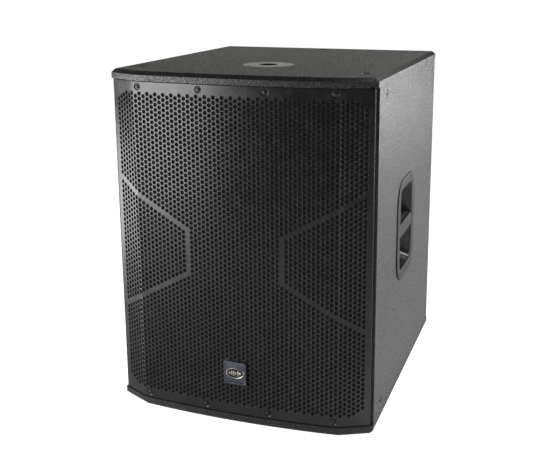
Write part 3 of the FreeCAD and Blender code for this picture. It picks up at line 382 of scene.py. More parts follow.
NODE_SLOTS = {
    "painted_board": ("top_panel", "bottom_panel", "side_panel_left", "side_panel_right", "back_panel"),
    "black_board": ("baffle_board", "grille_rails"),
    "bare_board": ("window_brace", "port_wall_left", "port_wall_right", "port_shelves"),
    "grille_steel": ("grille",),
    "dust_foam": ("grille_foam",),
    "black_screw": (
        "grille_screws", "pole_socket_screws", "rigging_screws", "rigging_inserts", "handle_screws",
        "amp_screws", "woofer_bolts", "foot_screws",
    ),
    "badge_metal": ("badge_plate",),
    "emblem_metal": ("badge_emblem",),
    "socket_metal": ("pole_socket",),
    "zinc_steel": ("woofer_tee_nuts", "control_pots"),
    "handle_plastic": ("handle_left", "handle_right"),
    "foot_rubber": ("foot_front_left", "foot_front_right", "foot_rear_left", "foot_rear_right"),
    "basket_metal": ("woofer_frame",),
    "gasket_foam": ("woofer_gasket",),
    "motor_steel": ("magnet_top_plate", "magnet_yoke"),
    "magnet_ferrite": ("magnet_ring",),
    "cone_paper": ("cone", "dust_cap"),
    "surround_cloth": ("surround",),
    "spider_cloth": ("spider",),
    "former_film": ("coil_former",),
    "coil_copper": ("coil_winding",),
    "terminal_plastic": ("woofer_terminals",),
    "cable_jacket": ("speaker_cables",),
    "amp_metal": ("amp_plate", "heatsink"),
    "chassis_steel": ("amp_chassis",),
    "board_laminate": ("amp_board",),
    "component_plastic": ("board_components",),
    "connector_plastic": (
        "signal_inputs", "signal_outputs", "mains_inlet", "power_switch_frame", "polarity_switch_body",
    ),
    "lens_plastic": ("status_lenses",),
    "knob_plastic": ("level_knob", "crossover_knob", "power_rocker"),
    "button_plastic": ("polarity_button",),
}
SLOT_OF = {node: slot for slot, nodes in NODE_SLOTS.items() for node in nodes}

for node, slot in SLOT_OF.items():
    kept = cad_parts[node]
    kept.data.materials.clear()
    kept.data.materials.append(FINISHES[slot])


# Mesh helpers


def mark_edges(bm, degrees):
    """Shades smoothly, apart from edges that turn more than an angle."""
    for face in bm.faces:
        face.smooth = True
    for edge in bm.edges:
        edge.smooth = edge.calc_face_angle(0.0) < math.radians(degrees)


def add_piece(name, bm, slots, body=CABINET, sharp=30.0):
    """Turns a bmesh into a piece on a body; the first slot is the record's own."""
    mark_edges(bm, sharp)
    mesh = bpy.data.meshes.new(name)
    bm.to_mesh(mesh)
    bm.free()
    piece = bpy.data.objects.new(name, mesh)
    bpy.context.scene.collection.objects.link(piece)
    for slot in slots:
        mesh.materials.append(FINISHES[slot])
    even = piece.modifiers.new("even_shading", "WEIGHTED_NORMAL")
    even.keep_sharp = True
    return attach(piece, body) if body else piece


def paint_faces(piece, finish, chosen):
    """Gives some of a piece's faces another finish."""
    piece.data.materials.append(FINISHES[finish])
    for face in piece.data.polygons:
        if chosen(face):
            face.material_index = len(piece.data.materials) - 1


def loft(bm, loops, cap=True, inner_from=None):
    """Skins closed loops of equally many points. Bands from inner_from on use the second slot."""
    rings = [[bm.verts.new(point) for point in loop] for loop in loops]
    for k, (near, far) in enumerate(zip(rings, rings[1:])):
        for i, corner in enumerate(near):
            j = (i + 1) % len(near)
            face = bm.faces.new((corner, near[j], far[j], far[i]))
            face.material_index = int(inner_from is not None and k >= inner_from)
    if cap:
        bm.faces.new(rings[0][::-1])
        last = bm.faces.new(rings[-1])
        last.material_index = int(inner_from is not None)


def revolve(bm, profile, centre, start=0.0, stop=360.0, steps=96):
    """Turns a closed profile of (radius, y) about the Y axis through a centre."""
    rings = []
    whole = stop - start > 359.0
    for k in range(steps if whole else steps + 1):
        angle = math.radians(start + (stop - start) * k / steps)
        out = Vector((math.cos(angle), 0, math.sin(angle)))
        rings.append([bm.verts.new(centre + out * r + Vector((0, y, 0))) for r, y in profile])
    pairs = list(zip(rings, rings[1:]))
    if whole:
        pairs.append((rings[-1], rings[0]))
    else:
        bm.faces.new(rings[0])
        bm.faces.new(rings[-1])
    for near, far in pairs:
        for i, corner in enumerate(near):
            j = (i + 1) % len(near)
            bm.faces.new((corner, near[j], far[j], far[i]))
    bmesh.ops.remove_doubles(bm, verts=bm.verts, dist=1e-7)
    bmesh.ops.recalc_face_normals(bm, faces=bm.faces)


SHARP_EDGE = math.radians(25.0)


def softened(node, radius, keep=lambda edge: True, body=CABINET):
    """Replaces a CAD node by a copy whose sharp edges are rounded."""
    bm = bmesh.new()
    bm.from_mesh(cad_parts[node].data)
    bmesh.ops.remove_doubles(bm, verts=bm.verts, dist=1e-6)
    bmesh.ops.dissolve_limit(bm, angle_limit=math.radians(0.1), verts=bm.verts, edges=bm.edges)
    edges = [
        edge
        for edge in bm.edges
        if edge.is_manifold and edge.calc_face_angle() > SHARP_EDGE and keep(edge)
    ]
    bmesh.ops.bevel(
        bm,
        geom=edges,
        offset=radius,
        segments=2,
        profile=0.5,
        affect="EDGES",
        clamp_overlap=True,
    )
    piece = add_piece(f"{node}_finished", bm, (SLOT_OF[node],), body, sharp=40.0)
    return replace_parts(piece, node)


# Boards: the paint runs over the joints, so only the free edges are rounded.

top_low, top_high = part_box("top_panel")
SEAM_TOP = top_low.z
SEAM_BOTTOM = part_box("bottom_panel")[1].z


def away_from_seams(edge):
    """True for an edge that doesn't lie in a joint between a side and an end panel."""
    heights = [vert.co.z for vert in edge.verts]
    in_top = all(abs(z - SEAM_TOP) < 1e-5 for z in heights)
    in_bottom = all(abs(z - SEAM_BOTTOM) < 1e-5 for z in heights)
    return not (in_top or in_bottom)


for board in ("top_panel", "bottom_panel"):
    softened(board, 1.0 * MM, keep=away_from_seams)
for board in ("side_panel_left", "side_panel_right"):
    softened(board, 0.8 * MM, keep=away_from_seams)


# Grille: one perforated sheet, folded to the cabinet's front line

grille_low, grille_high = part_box("grille")
badge_low, badge_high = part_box("badge_plate")
HALF = top_high.x
Y_LIP = top_low.y
FACET_WIDTH = 59 * MM
FACET_DEPTH = 29 * MM
BOW_DEPTH = 11 * MM
GRILLE_INSET = 2 * MM
SHEET = 1.5 * MM
BEND_R = 2.5 * MM
HOLE_R = 3.75 * MM
HOLE_ROLL = 0.35 * MM  # the sheet's face rolls into each punched hole
PITCH_X = 8.5 * MM
PITCH_Z = 9.5 * MM
LAST_COLUMN = 29
TOP_ROW = 63  # the holes' upper limit, in half pitches from the middle
STRIP_START = 11  # the column where the solid bracket strips stand upright
STRIP_ROWS = 9
DIMPLE_COLUMNS = (7, 22)  # a screw sits between each of these and the next column
SCREW_Z = 307.25 * MM

BOW_X = HALF - FACET_WIDTH
BOW_R = (BOW_X**2 + BOW_DEPTH**2) / (2 * BOW_DEPTH)
SHEET_R = BOW_R - GRILLE_INSET
BOW_CENTRE_Y = Y_LIP + BOW_R
SLOPE = FACET_DEPTH / FACET_WIDTH
FACET_ANGLE = math.atan(SLOPE)
GRILLE_MIDDLE = (grille_low.z + grille_high.z) / 2
GRILLE_HALF = (grille_high.z - grille_low.z) / 2 - 1.3 * MM  # a shadow gap under the lid


def facet_y(x):
    """Where the sheet's outer face lies on the facets."""
    return Y_LIP + BOW_DEPTH + FACET_DEPTH - (HALF - x) * SLOPE + GRILLE_INSET * math.hypot(1, SLOPE)


def fold_x():
    rise = facet_y(0) - BOW_CENTRE_Y
    a = 1 + SLOPE**2
    b = SLOPE * rise
    c = rise**2 - SHEET_R**2
    return (-b - math.sqrt(b * b - a * c)) / a


FOLD_X = fold_x()
FOLD_S = SHEET_R * math.asin(FOLD_X / SHEET_R)
TANGENT = BEND_R * math.tan((math.pi / 2 - FACET_ANGLE) / 2)
BEND_START_X = grille_high.x - TANGENT * math.cos(FACET_ANGLE)
BEND_S = FOLD_S + (BEND_START_X - FOLD_X) / math.cos(FACET_ANGLE)
FLANGE_S = BEND_S + BEND_R * (math.pi / 2 - FACET_ANGLE)
FLANGE_START_Y = facet_y(grille_high.x) + TANGENT
END_S = FLANGE_S + grille_high.y - FLANGE_START_Y


def sheet_point(s, height, depth):
    """A point of the sheet: s runs along its front from the middle, depth goes inward."""
    run = abs(s)
    if run < FOLD_S:
        radius = SHEET_R - depth
        x = radius * math.sin(run / SHEET_R)
        y = BOW_CENTRE_Y - radius * math.cos(run / SHEET_R)
    elif run <= BEND_S:
        run -= FOLD_S
        x = FOLD_X + run * math.cos(FACET_ANGLE) - depth * math.sin(FACET_ANGLE)
        y = facet_y(FOLD_X) + run * math.sin(FACET_ANGLE) + depth * math.cos(FACET_ANGLE)
    elif run < FLANGE_S:
        heading = FACET_ANGLE + (run - BEND_S) / BEND_R
        x = grille_high.x - BEND_R + (BEND_R - depth) * math.sin(heading)
        y = FLANGE_START_Y - (BEND_R - depth) * math.cos(heading)
    else:
        x = grille_high.x - depth
        y = FLANGE_START_Y + run - FLANGE_S
    return (math.copysign(x, s), y, GRILLE_MIDDLE + height)


class SheetPlan:
    """The sheet laid flat: corners of (s, height, depth), shared by the faces that meet there."""

    def __init__(self):
        self.corners = []
        self.faces = []
        self.known = {}

    def corner(self, s, height, depth=0.0):
        key = (round(s * 1e7), round(height * 1e7))
        if key not in self.known:
            self.known[key] = len(self.corners)
            self.corners.append((s, height, depth))
        return self.known[key]

    def lattice(self, column_edge, row_edge):
        """A corner of the hole pattern, in half pitches."""
        return self.corner(column_edge * PITCH_X / 2, row_edge * PITCH_Z / 2)

    def opening(self, border, s, height, rings, steps=ROUND):
        """Fills between a border and concentric rings of (radius, depth), leaving the last open."""
        loops = []
        for radius, depth in rings:
            loop = []
            for k in range(steps):
                angle = 2 * math.pi * k / steps
                loop.append(
                    self.corner(s + radius * math.cos(angle), height + radius * math.sin(angle), depth)
                )
            loops.append(loop)
        share = steps // len(border)
        for i, corner in enumerate(border):
            arc = [loops[0][(share * i + k) % steps] for k in range(share, -1, -1)]
            self.faces.append([corner, border[(i + 1) % len(border)], *arc])
        for near, far in zip(loops, loops[1:]):
            for i in range(steps):
                j = (i + 1) % steps
                self.faces.append([near[i], near[j], far[j], far[i]])


def has_hole(column, row):
    """Whether the sheet is perforated at a column and a height in half pitches."""
    away = abs(column)
    outermost = TOP_ROW - 1 if away < LAST_COLUMN - 1 else 2 * LAST_COLUMN + 30 - away
    if abs(row) > outermost:
        return False
    if away == STRIP_START and abs(row) <= STRIP_ROWS:
        return False
    if away > STRIP_START and abs(row) == STRIP_ROWS + away - STRIP_START:
        return False
    s = column * PITCH_X
    height = GRILLE_MIDDLE + row * PITCH_Z / 2
    margin = 1 * MM
    beside_badge = abs(s) > badge_high.x + margin
    return beside_badge or not badge_low.z - margin < height < badge_high.z + margin


def dimple_border(plan, column, top, side):
    """The rectangle of two columns around a screw, starting level with the screw on its right."""
    left = (2 * column - 1) * PITCH_X / 2
    middle = left + PITCH_X
    right = middle + PITCH_X
    inner = side * TOP_ROW * PITCH_Z / 2
    low, high = sorted((inner, side * top))
    points = [(right, high), (middle, high), (left, high), (left, low), (middle, low), (right, low)]
    return middle, [plan.corner(*point) for point in points]


def plan_grille():
    plan = SheetPlan()
    for column in range(-LAST_COLUMN, LAST_COLUMN + 1):
        left, right = 2 * column - 1, 2 * column + 1
        for row in range(-TOP_ROW + 1, TOP_ROW):
            if (row - column) % 2:
                continue
            border = [
                plan.lattice(right, row),
                plan.lattice(right, row + 1),
                plan.lattice(left, row + 1),
                plan.lattice(left, row),
                plan.lattice(left, row - 1),
                plan.lattice(right, row - 1),
            ]
            if has_hole(column, row):
                rings = [(HOLE_R + HOLE_ROLL, 0.0), (HOLE_R, HOLE_ROLL)]
                plan.opening(border, column * PITCH_X, row * PITCH_Z / 2, rings, 12)
            else:
                plan.faces.append(border)
        if column % 2:
            for low, high in ((TOP_ROW - 1, TOP_ROW), (-TOP_ROW, -TOP_ROW + 1)):
                plan.faces.append(
                    [
                        plan.lattice(left, low),
                        plan.lattice(right, low),
                        plan.lattice(right, high),
                        plan.lattice(left, high),
                    ]
                )
    plan_border(plan)
    plan_ends(plan)
    return plan


DIMPLE = ((7.2, 0.0), (6.7, 0.12), (5.6, 1.1), (5.0, 1.3), (2.2, 1.3))


def plan_border(plan):
    """The plain strips above and below the holes, with a dimple at each screw."""
    firsts = [c for k in DIMPLE_COLUMNS for c in (k, -k - 1)]
    for side in (-1, 1):
        inner = side * TOP_ROW * PITCH_Z / 2
        low, high = sorted((inner, side * GRILLE_HALF))
        for column in range(-LAST_COLUMN, LAST_COLUMN + 1):
            if column in firsts:
                middle, border = dimple_border(plan, column, GRILLE_HALF, side)
                rings = [(radius * MM, depth * MM) for radius, depth in DIMPLE]
                plan.opening(border, middle, side * SCREW_Z, rings)
            elif column - 1 not in firsts:
                left = (2 * column - 1) * PITCH_X / 2
                right = left + PITCH_X
                points = ((left, low), (right, low), (right, high), (left, high))
                plan.faces.append([plan.corner(*point) for point in points])


def plan_ends(plan):
    """The plain margin beside the last column, the bend and the flange behind it."""
    edge = 2 * LAST_COLUMN + 1
    bend_steps = 5
    stations = [BEND_S + (FLANGE_S - BEND_S) * k / bend_steps for k in range(bend_steps + 1)]
    stations.append(END_S)
    for side in (-1, 1):
        chain = [plan.corner(side * edge * PITCH_X / 2, -GRILLE_HALF)]
        chain += [plan.lattice(side * edge, row) for row in range(-TOP_ROW, TOP_ROW + 1)]
        chain.append(plan.corner(side * edge * PITCH_X / 2, GRILLE_HALF))
        bend = [plan.corner(side * BEND_S, height) for height in (GRILLE_HALF, -GRILLE_HALF)]
        margin = [*chain, *bend]
        plan.faces.append(margin[::-side])
        for near, far in zip(stations, stations[1:]):
            strip = [
                plan.corner(side * near, -GRILLE_HALF),
                plan.corner(side * far, -GRILLE_HALF),
                plan.corner(side * far, GRILLE_HALF),
                plan.corner(side * near, GRILLE_HALF),
            ]
            plan.faces.append(strip[::side])


def thick_sheet(name, plan, thickness, slots):
    """Gives a planned sheet its back face and closes every open edge between the two."""
    count = len(plan.corners)
    points = [sheet_point(*corner) for corner in plan.corners]
    points += [sheet_point(s, height, depth + thickness) for s, height, depth in plan.corners]
    faces = list(plan.faces)
    faces += [[i + count for i in reversed(face)] for face in plan.faces]
    used = {(a, b) for face in plan.faces for a, b in zip(face, face[1:] + face[:1])}
    faces += [[b, a, a + count, b + count] for a, b in used if (b, a) not in used]
    mesh = bpy.data.meshes.new(name)
    mesh.from_pydata(points, [], faces)
    for slot in slots:
        mesh.materials.append(FINISHES[slot])
    piece = bpy.data.objects.new(name, mesh)
    bpy.context.scene.collection.objects.link(piece)
    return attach(piece, CABINET)


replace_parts(thick_sheet("perforated_grille", plan_grille(), SHEET, ("grille_steel",)), "grille")


# Foam: a thin sheet that follows the grille's back, with a slightly uneven face

foam_low, foam_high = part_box("grille_foam")
FOAM_DEPTH = (2.0 * MM, 4.2 * MM)
FOAM_SWELL = 0.12 * MM
FOAM_COLUMNS = 180
FOAM_ROWS = 150
FOAM_END_S = FOLD_S + (foam_high.x - 1 * MM - FOLD_X) / math.cos(FACET_ANGLE)
FOAM_HALF = (foam_high.z - foam_low.z) / 2 - 0.3 * MM


def foam_swell(s, height):
    waves = math.sin(s / (7 * MM)) * math.cos(height / (9 * MM) + s / (23 * MM))
    return FOAM_SWELL * waves


def make_foam():
    plan = SheetPlan()
    columns = [FOAM_END_S * (2 * k / FOAM_COLUMNS - 1) for k in range(FOAM_COLUMNS + 1)]
    rows = [FOAM_HALF * (2 * k / FOAM_ROWS - 1) for k in range(FOAM_ROWS + 1)]
    for left, right in zip(columns, columns[1:]):
        for low, high in zip(rows, rows[1:]):
            square = ((left, low), (right, low), (right, high), (left, high))
            plan.faces.append([plan.corner(s, z, FOAM_DEPTH[0] + foam_swell(s, z)) for s, z in square])
    foam = thick_sheet("dust_foam_sheet", plan, FOAM_DEPTH[1] - FOAM_DEPTH[0], ("dust_foam",))
    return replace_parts(foam, "grille_foam")


make_foam()


# Screws


def across(inward):
    """Two directions square to a screw's axis and to each other."""
    first = inward.orthogonal().normalized()
    return first, inward.cross(first)


def turned_loop(point, inward, radius, height, flats=0):
    """A ring of points around an axis, height above a surface. With flats it is a hexagon."""
    first, second = across(inward)
    loop = []
    for k in range(ROUND):
        angle = 2 * math.pi * k / ROUND
        reach = radius
        if flats:
            half = math.pi / flats
            reach = radius / math.cos((angle + half) % (2 * half) - half)
        offset = first * (reach * math.cos(angle)) + second * (reach * math.sin(angle))
        loop.append(point + offset - inward * height)
    return loop


def add_screw(bm, point, inward, profile, socket, socket_depth):
    """A screw from its tip to its head, by (radius, height), with a hexagon socket."""
    top = profile[-1][1]
    loops = [turned_loop(point, inward, radius, height) for radius, height in profile]
    loops.append(turned_loop(point, inward, socket, top, 6))
    loops.append(turned_loop(point, inward, socket, top - socket_depth, 6))
    loft(bm, loops)


def screw_set(name, node, profile, socket, socket_depth, places=None):
    """Finished screws in place of a node's plain ones."""
    bm = bmesh.new()
    scaled = [(radius * MM, height * MM) for radius, height in profile]
    for point, inward in places or screw_places(node):
        add_screw(bm, point, inward, scaled, socket * MM, socket_depth * MM)
    bmesh.ops.recalc_face_normals(bm, faces=bm.faces)
    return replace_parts(add_piece(name, bm, (SLOT_OF[node],)), node)


def loose_parts(node):
    """The boxes of a CAD node's separate solids, as (low, high) corners."""
    bm = bmesh.new()
    bm.from_mesh(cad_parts[node].data)
    bmesh.ops.remove_doubles(bm, verts=bm.verts, dist=1e-6)
    unseen = set(bm.verts)
    parts = []
    while unseen:
        group = [unseen.pop()]
        for vert in group:
            for edge in vert.link_edges:
                other = edge.other_vert(vert)
                if other in unseen:
                    unseen.remove(other)
                    group.append(other)
        parts.append(
            (
                Vector([min(vert.co[i] for vert in group) for i in range(3)]),
                Vector([max(vert.co[i] for vert in group) for i in range(3)]),
            )
        )
    bm.free()
    return parts


def screw_places(node):
    """Where a node's screws end outside, and their way in from the nearest side of the object."""
    places = []
    for low, high in loose_parts(node):
        gaps = [(low[i] - cad_low[i], i, 1.0, low[i]) for i in range(3)]
        gaps += [(cad_high[i] - high[i], i, -1.0, high[i]) for i in range(3)]
        _, axis, way, outside = min(gaps)
        point = (low + high) / 2
        point[axis] = outside
        inward = Vector((0, 0, 0))
        inward[axis] = way
        places.append((point, inward))
    return places


dimpled = []
for k in DIMPLE_COLUMNS:
    for side in (-1, 1):
        for end in (-1, 1):
            s = side * (2 * k + 1) * PITCH_X / 2
            point = Vector(sheet_point(s, end * SCREW_Z, 0.0))
            inside = Vector(sheet_point(s, end * SCREW_Z, 1 * MM))
            dimpled.append((point, (inside - point).normalized()))
BUTTON_HEAD = ((1.85, -18), (1.85, -1.3), (4.2, -1.3), (4.2, -0.6), (3.9, 0.1), (3.0, 0.7), (1.9, 0.95))
screw_set("grille_button_screws", "grille_screws", BUTTON_HEAD, 1.25, 1.6, dimpled)

SUNK_HEAD = ((1.5, -15), (1.5, -2.4), (3.7, -0.25), (3.75, -0.05), (3.5, 0.0))
screw_set("handle_sunk_screws", "handle_screws", SUNK_HEAD, 1.25, 1.6)
screw_set("pole_plate_screws", "pole_socket_screws", SUNK_HEAD, 1.25, 1.6)
RIG_HEAD = ((4.9, -16), (4.9, -5.4), (8.9, -1.5), (9.0, -1.2), (8.7, -1.0))
screw_set("rigging_point_screws", "rigging_screws", RIG_HEAD, 3.0, 4.0)
PAN_HEAD = ((1.65, -17), (1.65, -2.2), (3.6, -2.2), (3.6, -1.0), (3.2, -0.3), (2.2, 0.0))
screw_set("amp_pan_screws", "amp_screws", PAN_HEAD, 1.25, 1.4)


# Pole socket: a pale flange round a tube painted near black as shade

socket = softened("pole_socket", 0.3 * MM)
pole_low, pole_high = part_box("pole_socket")
POLE_MIDDLE = (pole_low + pole_high) / 2
TUBE_R = 18.6 * MM


def in_tube(face):
    """True for the tube's own faces, whose corners all lie near its axis."""
    corners = [socket.data.vertices[i].co for i in face.vertices]
    return max((corner - POLE_MIDDLE).xy.length for corner in corners) < TUBE_R


# The tube's faces are painted near black as shade.
paint_faces(socket, "socket_bore_painted_shade", in_tube)


# Badge: a rimmed tray with a cushioned field, carrying a plain oval with sound bars


def rounded_polygon(corners, radius, steps=6):
    """A polygon's outline, its corners rounded, as a dense list of (u, v)."""
    outline = []
    count = len(corners)
    for k, corner in enumerate(corners):
        here = Vector(corner)
        before = (Vector(corners[k - 1]) - here).normalized()
        after = (Vector(corners[(k + 1) % count]) - here).normalized()
        half = math.acos(max(-1.0, min(1.0, before.dot(after)))) / 2
        centre = here + (before + after).normalized() * (radius / math.sin(half))
        start = here + before * (radius / math.tan(half)) - centre
        stop = here + after * (radius / math.tan(half)) - centre
        for i in range(steps + 1):
            arm = start.lerp(stop, i / steps).normalized() * radius
            outline.append(centre + arm)
    return outline


def star_loop(outline, count):
    """Where rays at equal angles from the middle cross an outline."""
    crossings = []
    total = len(outline)
    for k in range(count):
        angle = 2 * math.pi * (k + 0.5) / count
        ray = Vector((math.cos(angle), math.sin(angle)))
        best = None
        for i, a in enumerate(outline):
            b = outline[(i + 1) % total]
            edge = b - a
            turn = ray.x * edge.y - ray.y * edge.x
            if abs(turn) < 1e-12:
                continue
            reach = (a.x * edge.y - a.y * edge.x) / turn
            share = (a.x * ray.y - a.y * ray.x) / turn
            if reach > 0 and -1e-9 <= share <= 1 + 1e-9:
                best = reach if best is None else max(best, reach)
        crossings.append(ray * best)
    return crossings


def square_outline(half_u, half_v, inset, radius):
    u, v = half_u - inset, half_v - inset
    corners = ((u, v), (-u, v), (-u, -v), (u, -v))
    return rounded_polygon(corners, max(radius - inset, 0.3 * MM))


def front_loop(outline, middle, y, count):
    """An outline set upright, facing the front."""
    return [Vector((middle.x + p.x, y, middle.z + p.y)) for p in star_loop(outline, count)]


BADGE_MIDDLE = (badge_low + badge_high) / 2
BADGE_HALF = badge_high.x
BADGE_PROFILE = (
    # inset from the outer edge, depth behind the rim's crest
    (0.0, 5.0), (0.0, 1.0), (0.25, 0.35), (0.9, 0.0), (2.0, 0.0), (2.7, 0.3), (3.2, 1.3), (3.6, 1.6),
    (6.0, 1.25), (10.0, 0.95), (15.0, 0.8), (20.0, 0.75),
)
bm = bmesh.new()
loops = []
for inset, depth in BADGE_PROFILE:
    outline = square_outline(BADGE_HALF, BADGE_HALF, inset * MM, 3.2 * MM)
    loops.append(front_loop(outline, BADGE_MIDDLE, badge_low.y + depth * MM, 96))
loft(bm, loops)
bmesh.ops.recalc_face_normals(bm, faces=bm.faces)
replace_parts(add_piece("badge_tray", bm, ("badge_metal",)), "badge_plate")

OVAL_U = 18.3 * MM
OVAL_V = 10.4 * MM
BAR_HALF_HEIGHTS = (2.0, 4.2, 6.0, 3.2, 5.2, 2.6)
BAR_SPACING = 4.2 * MM
BAR_HALF_WIDTH = 1.25 * MM
BAR_CORNER = 1.2 * MM
BAR_CROWN = ((0.0, 0.8), (0.0, 0.45), (0.25, 0.2), (0.6, 0.1))  # inset, depth behind the rim's crest
OVAL_PROFILE = (
    # inset, depth behind the rim's crest
    (0.0, 1.6), (0.0, 0.5), (0.25, 0.15), (0.7, 0.05), (1.15, 0.2), (1.4, 0.6), (1.6, 0.75),
    (4.0, 0.65), (8.0, 0.6),
)
bm = bmesh.new()
loops = []
for inset, depth in OVAL_PROFILE:
    loop = []
    for k in range(72):
        angle = 2 * math.pi * k / 72
        u = (OVAL_U - inset * MM) * math.cos(angle)
        v = (OVAL_V - inset * MM) * math.sin(angle)
        loop.append(Vector((BADGE_MIDDLE.x + u, badge_low.y + depth * MM, BADGE_MIDDLE.z + v)))
    loops.append(loop)
loft(bm, loops, inner_from=6)
for k, half_height in enumerate(BAR_HALF_HEIGHTS):
    middle = BADGE_MIDDLE + Vector(((k - (len(BAR_HALF_HEIGHTS) - 1) / 2) * BAR_SPACING, 0, 0))
    loops = []
    for inset, depth in BAR_CROWN:
        outline = square_outline(BAR_HALF_WIDTH, half_height * MM, inset * MM, BAR_CORNER)
        loops.append(front_loop(outline, middle, badge_low.y + depth * MM, 24))
    loft(bm, loops)
bmesh.ops.recalc_face_normals(bm, faces=bm.faces)
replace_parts(add_piece("badge_oval", bm, ("emblem_metal", "emblem_ground")), "badge_emblem")


# Handles: a moulded cup with a beaded flange, two pockets and a bar

HANDLE_COUNT = 120
CORNER_R = 50 * MM
MOUTH_DEPTH = 4 * MM
BOTTOM_DEPTH = 64 * MM
MOUTH = (57, 52, 84)  # half widths beside the bar and at the ends, half height
BOTTOM = (42, 36, 60)


def cup_outline(share, by):
    """The cup's outline between its mouth, 0, and its bottom, 1, moved outward by a distance."""
    waist, end, height = (((1 - share) * a + share * b) * MM + by for a, b in zip(MOUTH, BOTTOM))
    upper = [(waist, 15 * MM), (end, height), (-end, height), (-waist, 15 * MM)]
    lower = [(u, -v) for u, v in reversed(upper)]
    return rounded_polygon(upper + lower, 13 * MM)


FLANGE_BANDS = (
    # inset from the flange's edge, depth behind its crest
    (0.7, 2.5), (0.0, 1.9), (0.0, 1.2), (0.5, 0.6), (1.6, 0.35), (2.6, 0.3), (3.3, 0.1), (4.0, 0.0),
    (5.0, 0.0), (5.7, 0.1), (6.3, 0.3), (7.5, 0.4),
)
LIP_BANDS = ((6.0, 0.4), (3.4, 0.5), (1.8, 1.0), (0.6, 2.2), (0.0, 4.0))
CUP_SHARES = (0.1, 0.3, 0.55, 0.8, 0.95)


def handle_loop(outline, side, middle, depth):
    """An outline in the side's plane, as points at a depth inside the flange's crest."""
    x = side * (cad_high.x - depth)
    return [Vector((x, middle.y + p.x, middle.z + p.y)) for p in star_loop(outline, HANDLE_COUNT)]


def handle_loops(side, low, high):
    middle = (low + high) / 2
    half_y = (high.y - low.y) / 2
    half_z = (high.z - low.z) / 2
    loops = [
        handle_loop(cup_outline(1.0, 2.5 * MM), side, middle, 73 * MM),
        handle_loop(cup_outline(0.0, 2.5 * MM), side, middle, 4 * MM),
    ]
    for inset, depth in FLANGE_BANDS:
        outline = square_outline(half_y, half_z, inset * MM, CORNER_R)
        loops.append(handle_loop(outline, side, middle, depth * MM))
    for by, depth in LIP_BANDS:
        loops.append(handle_loop(cup_outline(0.0, by * MM), side, middle, depth * MM))
    glossy_from = len(loops) - 2
    for share in CUP_SHARES:
        depth = MOUTH_DEPTH + (BOTTOM_DEPTH - MOUTH_DEPTH) * share
        loops.append(handle_loop(cup_outline(share, 0.0), side, middle, depth))
    loops.append(handle_loop(cup_outline(1.0, -1.5 * MM), side, middle, 68 * MM))
    loops.append(handle_loop(cup_outline(1.0, -6.0 * MM), side, middle, 70 * MM))
    return loops, glossy_from


BAR_PROFILE = (
    # depth behind the flange's crest, height from the bar's middle
    (0.9, -10.5), (0.9, 10.5), (1.3, 12.3), (2.6, 13.9), (4.6, 14.7), (7.0, 15.0),
    (9.0, 15.0), (10.0, 16.2), (11.5, 16.2), (12.5, 15.0),
    (14.5, 15.0), (15.5, 16.2), (17.0, 16.2), (18.0, 15.0),
    (20.0, 15.0), (22.0, 14.8), (26.0, 12.5), (28.0, 8.0),
    (28.0, -8.0), (26.0, -12.5), (22.0, -14.8), (7.0, -15.0), (4.6, -14.7), (2.6, -13.9), (1.3, -12.3),
)
BAR_STATIONS = ((-60, 0.5), (-57, 0.0), (-40, 0.0), (0, 0.0), (40, 0.0), (57, 0.0), (60, 0.5))


def bar_loops(side, middle):
    loops = []
    for along, sink in BAR_STATIONS:
        loops.append(
            [
                Vector(
                    (
                        side * (cad_high.x - (depth + sink) * MM),
                        middle.y + along * MM,
                        middle.z + height * MM,
                    )
                )
                for depth, height in BAR_PROFILE
            ]
        )
    return loops


for hand, side in (("left", -1), ("right", 1)):
    node = f"handle_{hand}"
    low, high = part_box(node)
    bm = bmesh.new()
    loops, glossy_from = handle_loops(side, low, high)
    loft(bm, loops, inner_from=glossy_from)
    loft(bm, bar_loops(side, (low + high) / 2))
    bmesh.ops.recalc_face_normals(bm, faces=bm.faces)
    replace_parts(add_piece(f"moulded_{node}", bm, ("handle_plastic", "pocket_gloss")), node)


# Woofer, behind the grille and its foam. Depths run back from the baffle's front face.

CONE_BODY = "cone_assembly"
baffle_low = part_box("baffle_board")[0]
cone_low, cone_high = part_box("cone")
AXIS = Vector((0, baffle_low.y, (cone_low.z + cone_high.z) / 2))
CONE_LIP_R = (cone_high.z - cone_low.z) / 2
CONE_EDGE_R = CONE_LIP_R - 7 * MM
CONE_WALL = 1.4 * MM
LIP_DEPTH = -2.0 * MM
EDGE_DEPTH = -0.8 * MM
NECK_R = 50.05 * MM
CONE_SLOPE = 78.8 / 115.0  # the cone's fall over its run, from the edge to the neck
RIB_HEIGHT = 0.4 * MM
CAP_EDGE_R = 60 * MM
CAP_RISE = 22 * MM
CAP_WALL = 1.2 * MM
ROLL_OUTER_R = 195.5 * MM
ROLL_RISE = 3.4 * MM
LANDING_R = 205 * MM  # where the surround is glued to the frame
SURROUND_WALL = 1.4 * MM
SPIDER_R = (50.2 * MM, 96 * MM)
SPIDER_DEPTH = 91 * MM
SPIDER_WAVE = 1.3 * MM
SPIDER_WALL = 1.0 * MM
SECTORS = 16
HALF_SECTOR = math.pi / SECTORS


def shell(stations):
    """A closed outline round a thin wall, from stations of (radius, front depth, back depth)."""
    front = [(radius, depth) for radius, depth, _ in stations]
    back = [(radius, depth) for radius, _, depth in stations]
    return [*front, *reversed(back)]


def shares(steps):
    return [k / steps for k in range(steps + 1)]


def cone_depth(radius):
    """How far behind the baffle's face the cone lies."""
    return (CONE_EDGE_R - radius) * CONE_SLOPE + EDGE_DEPTH


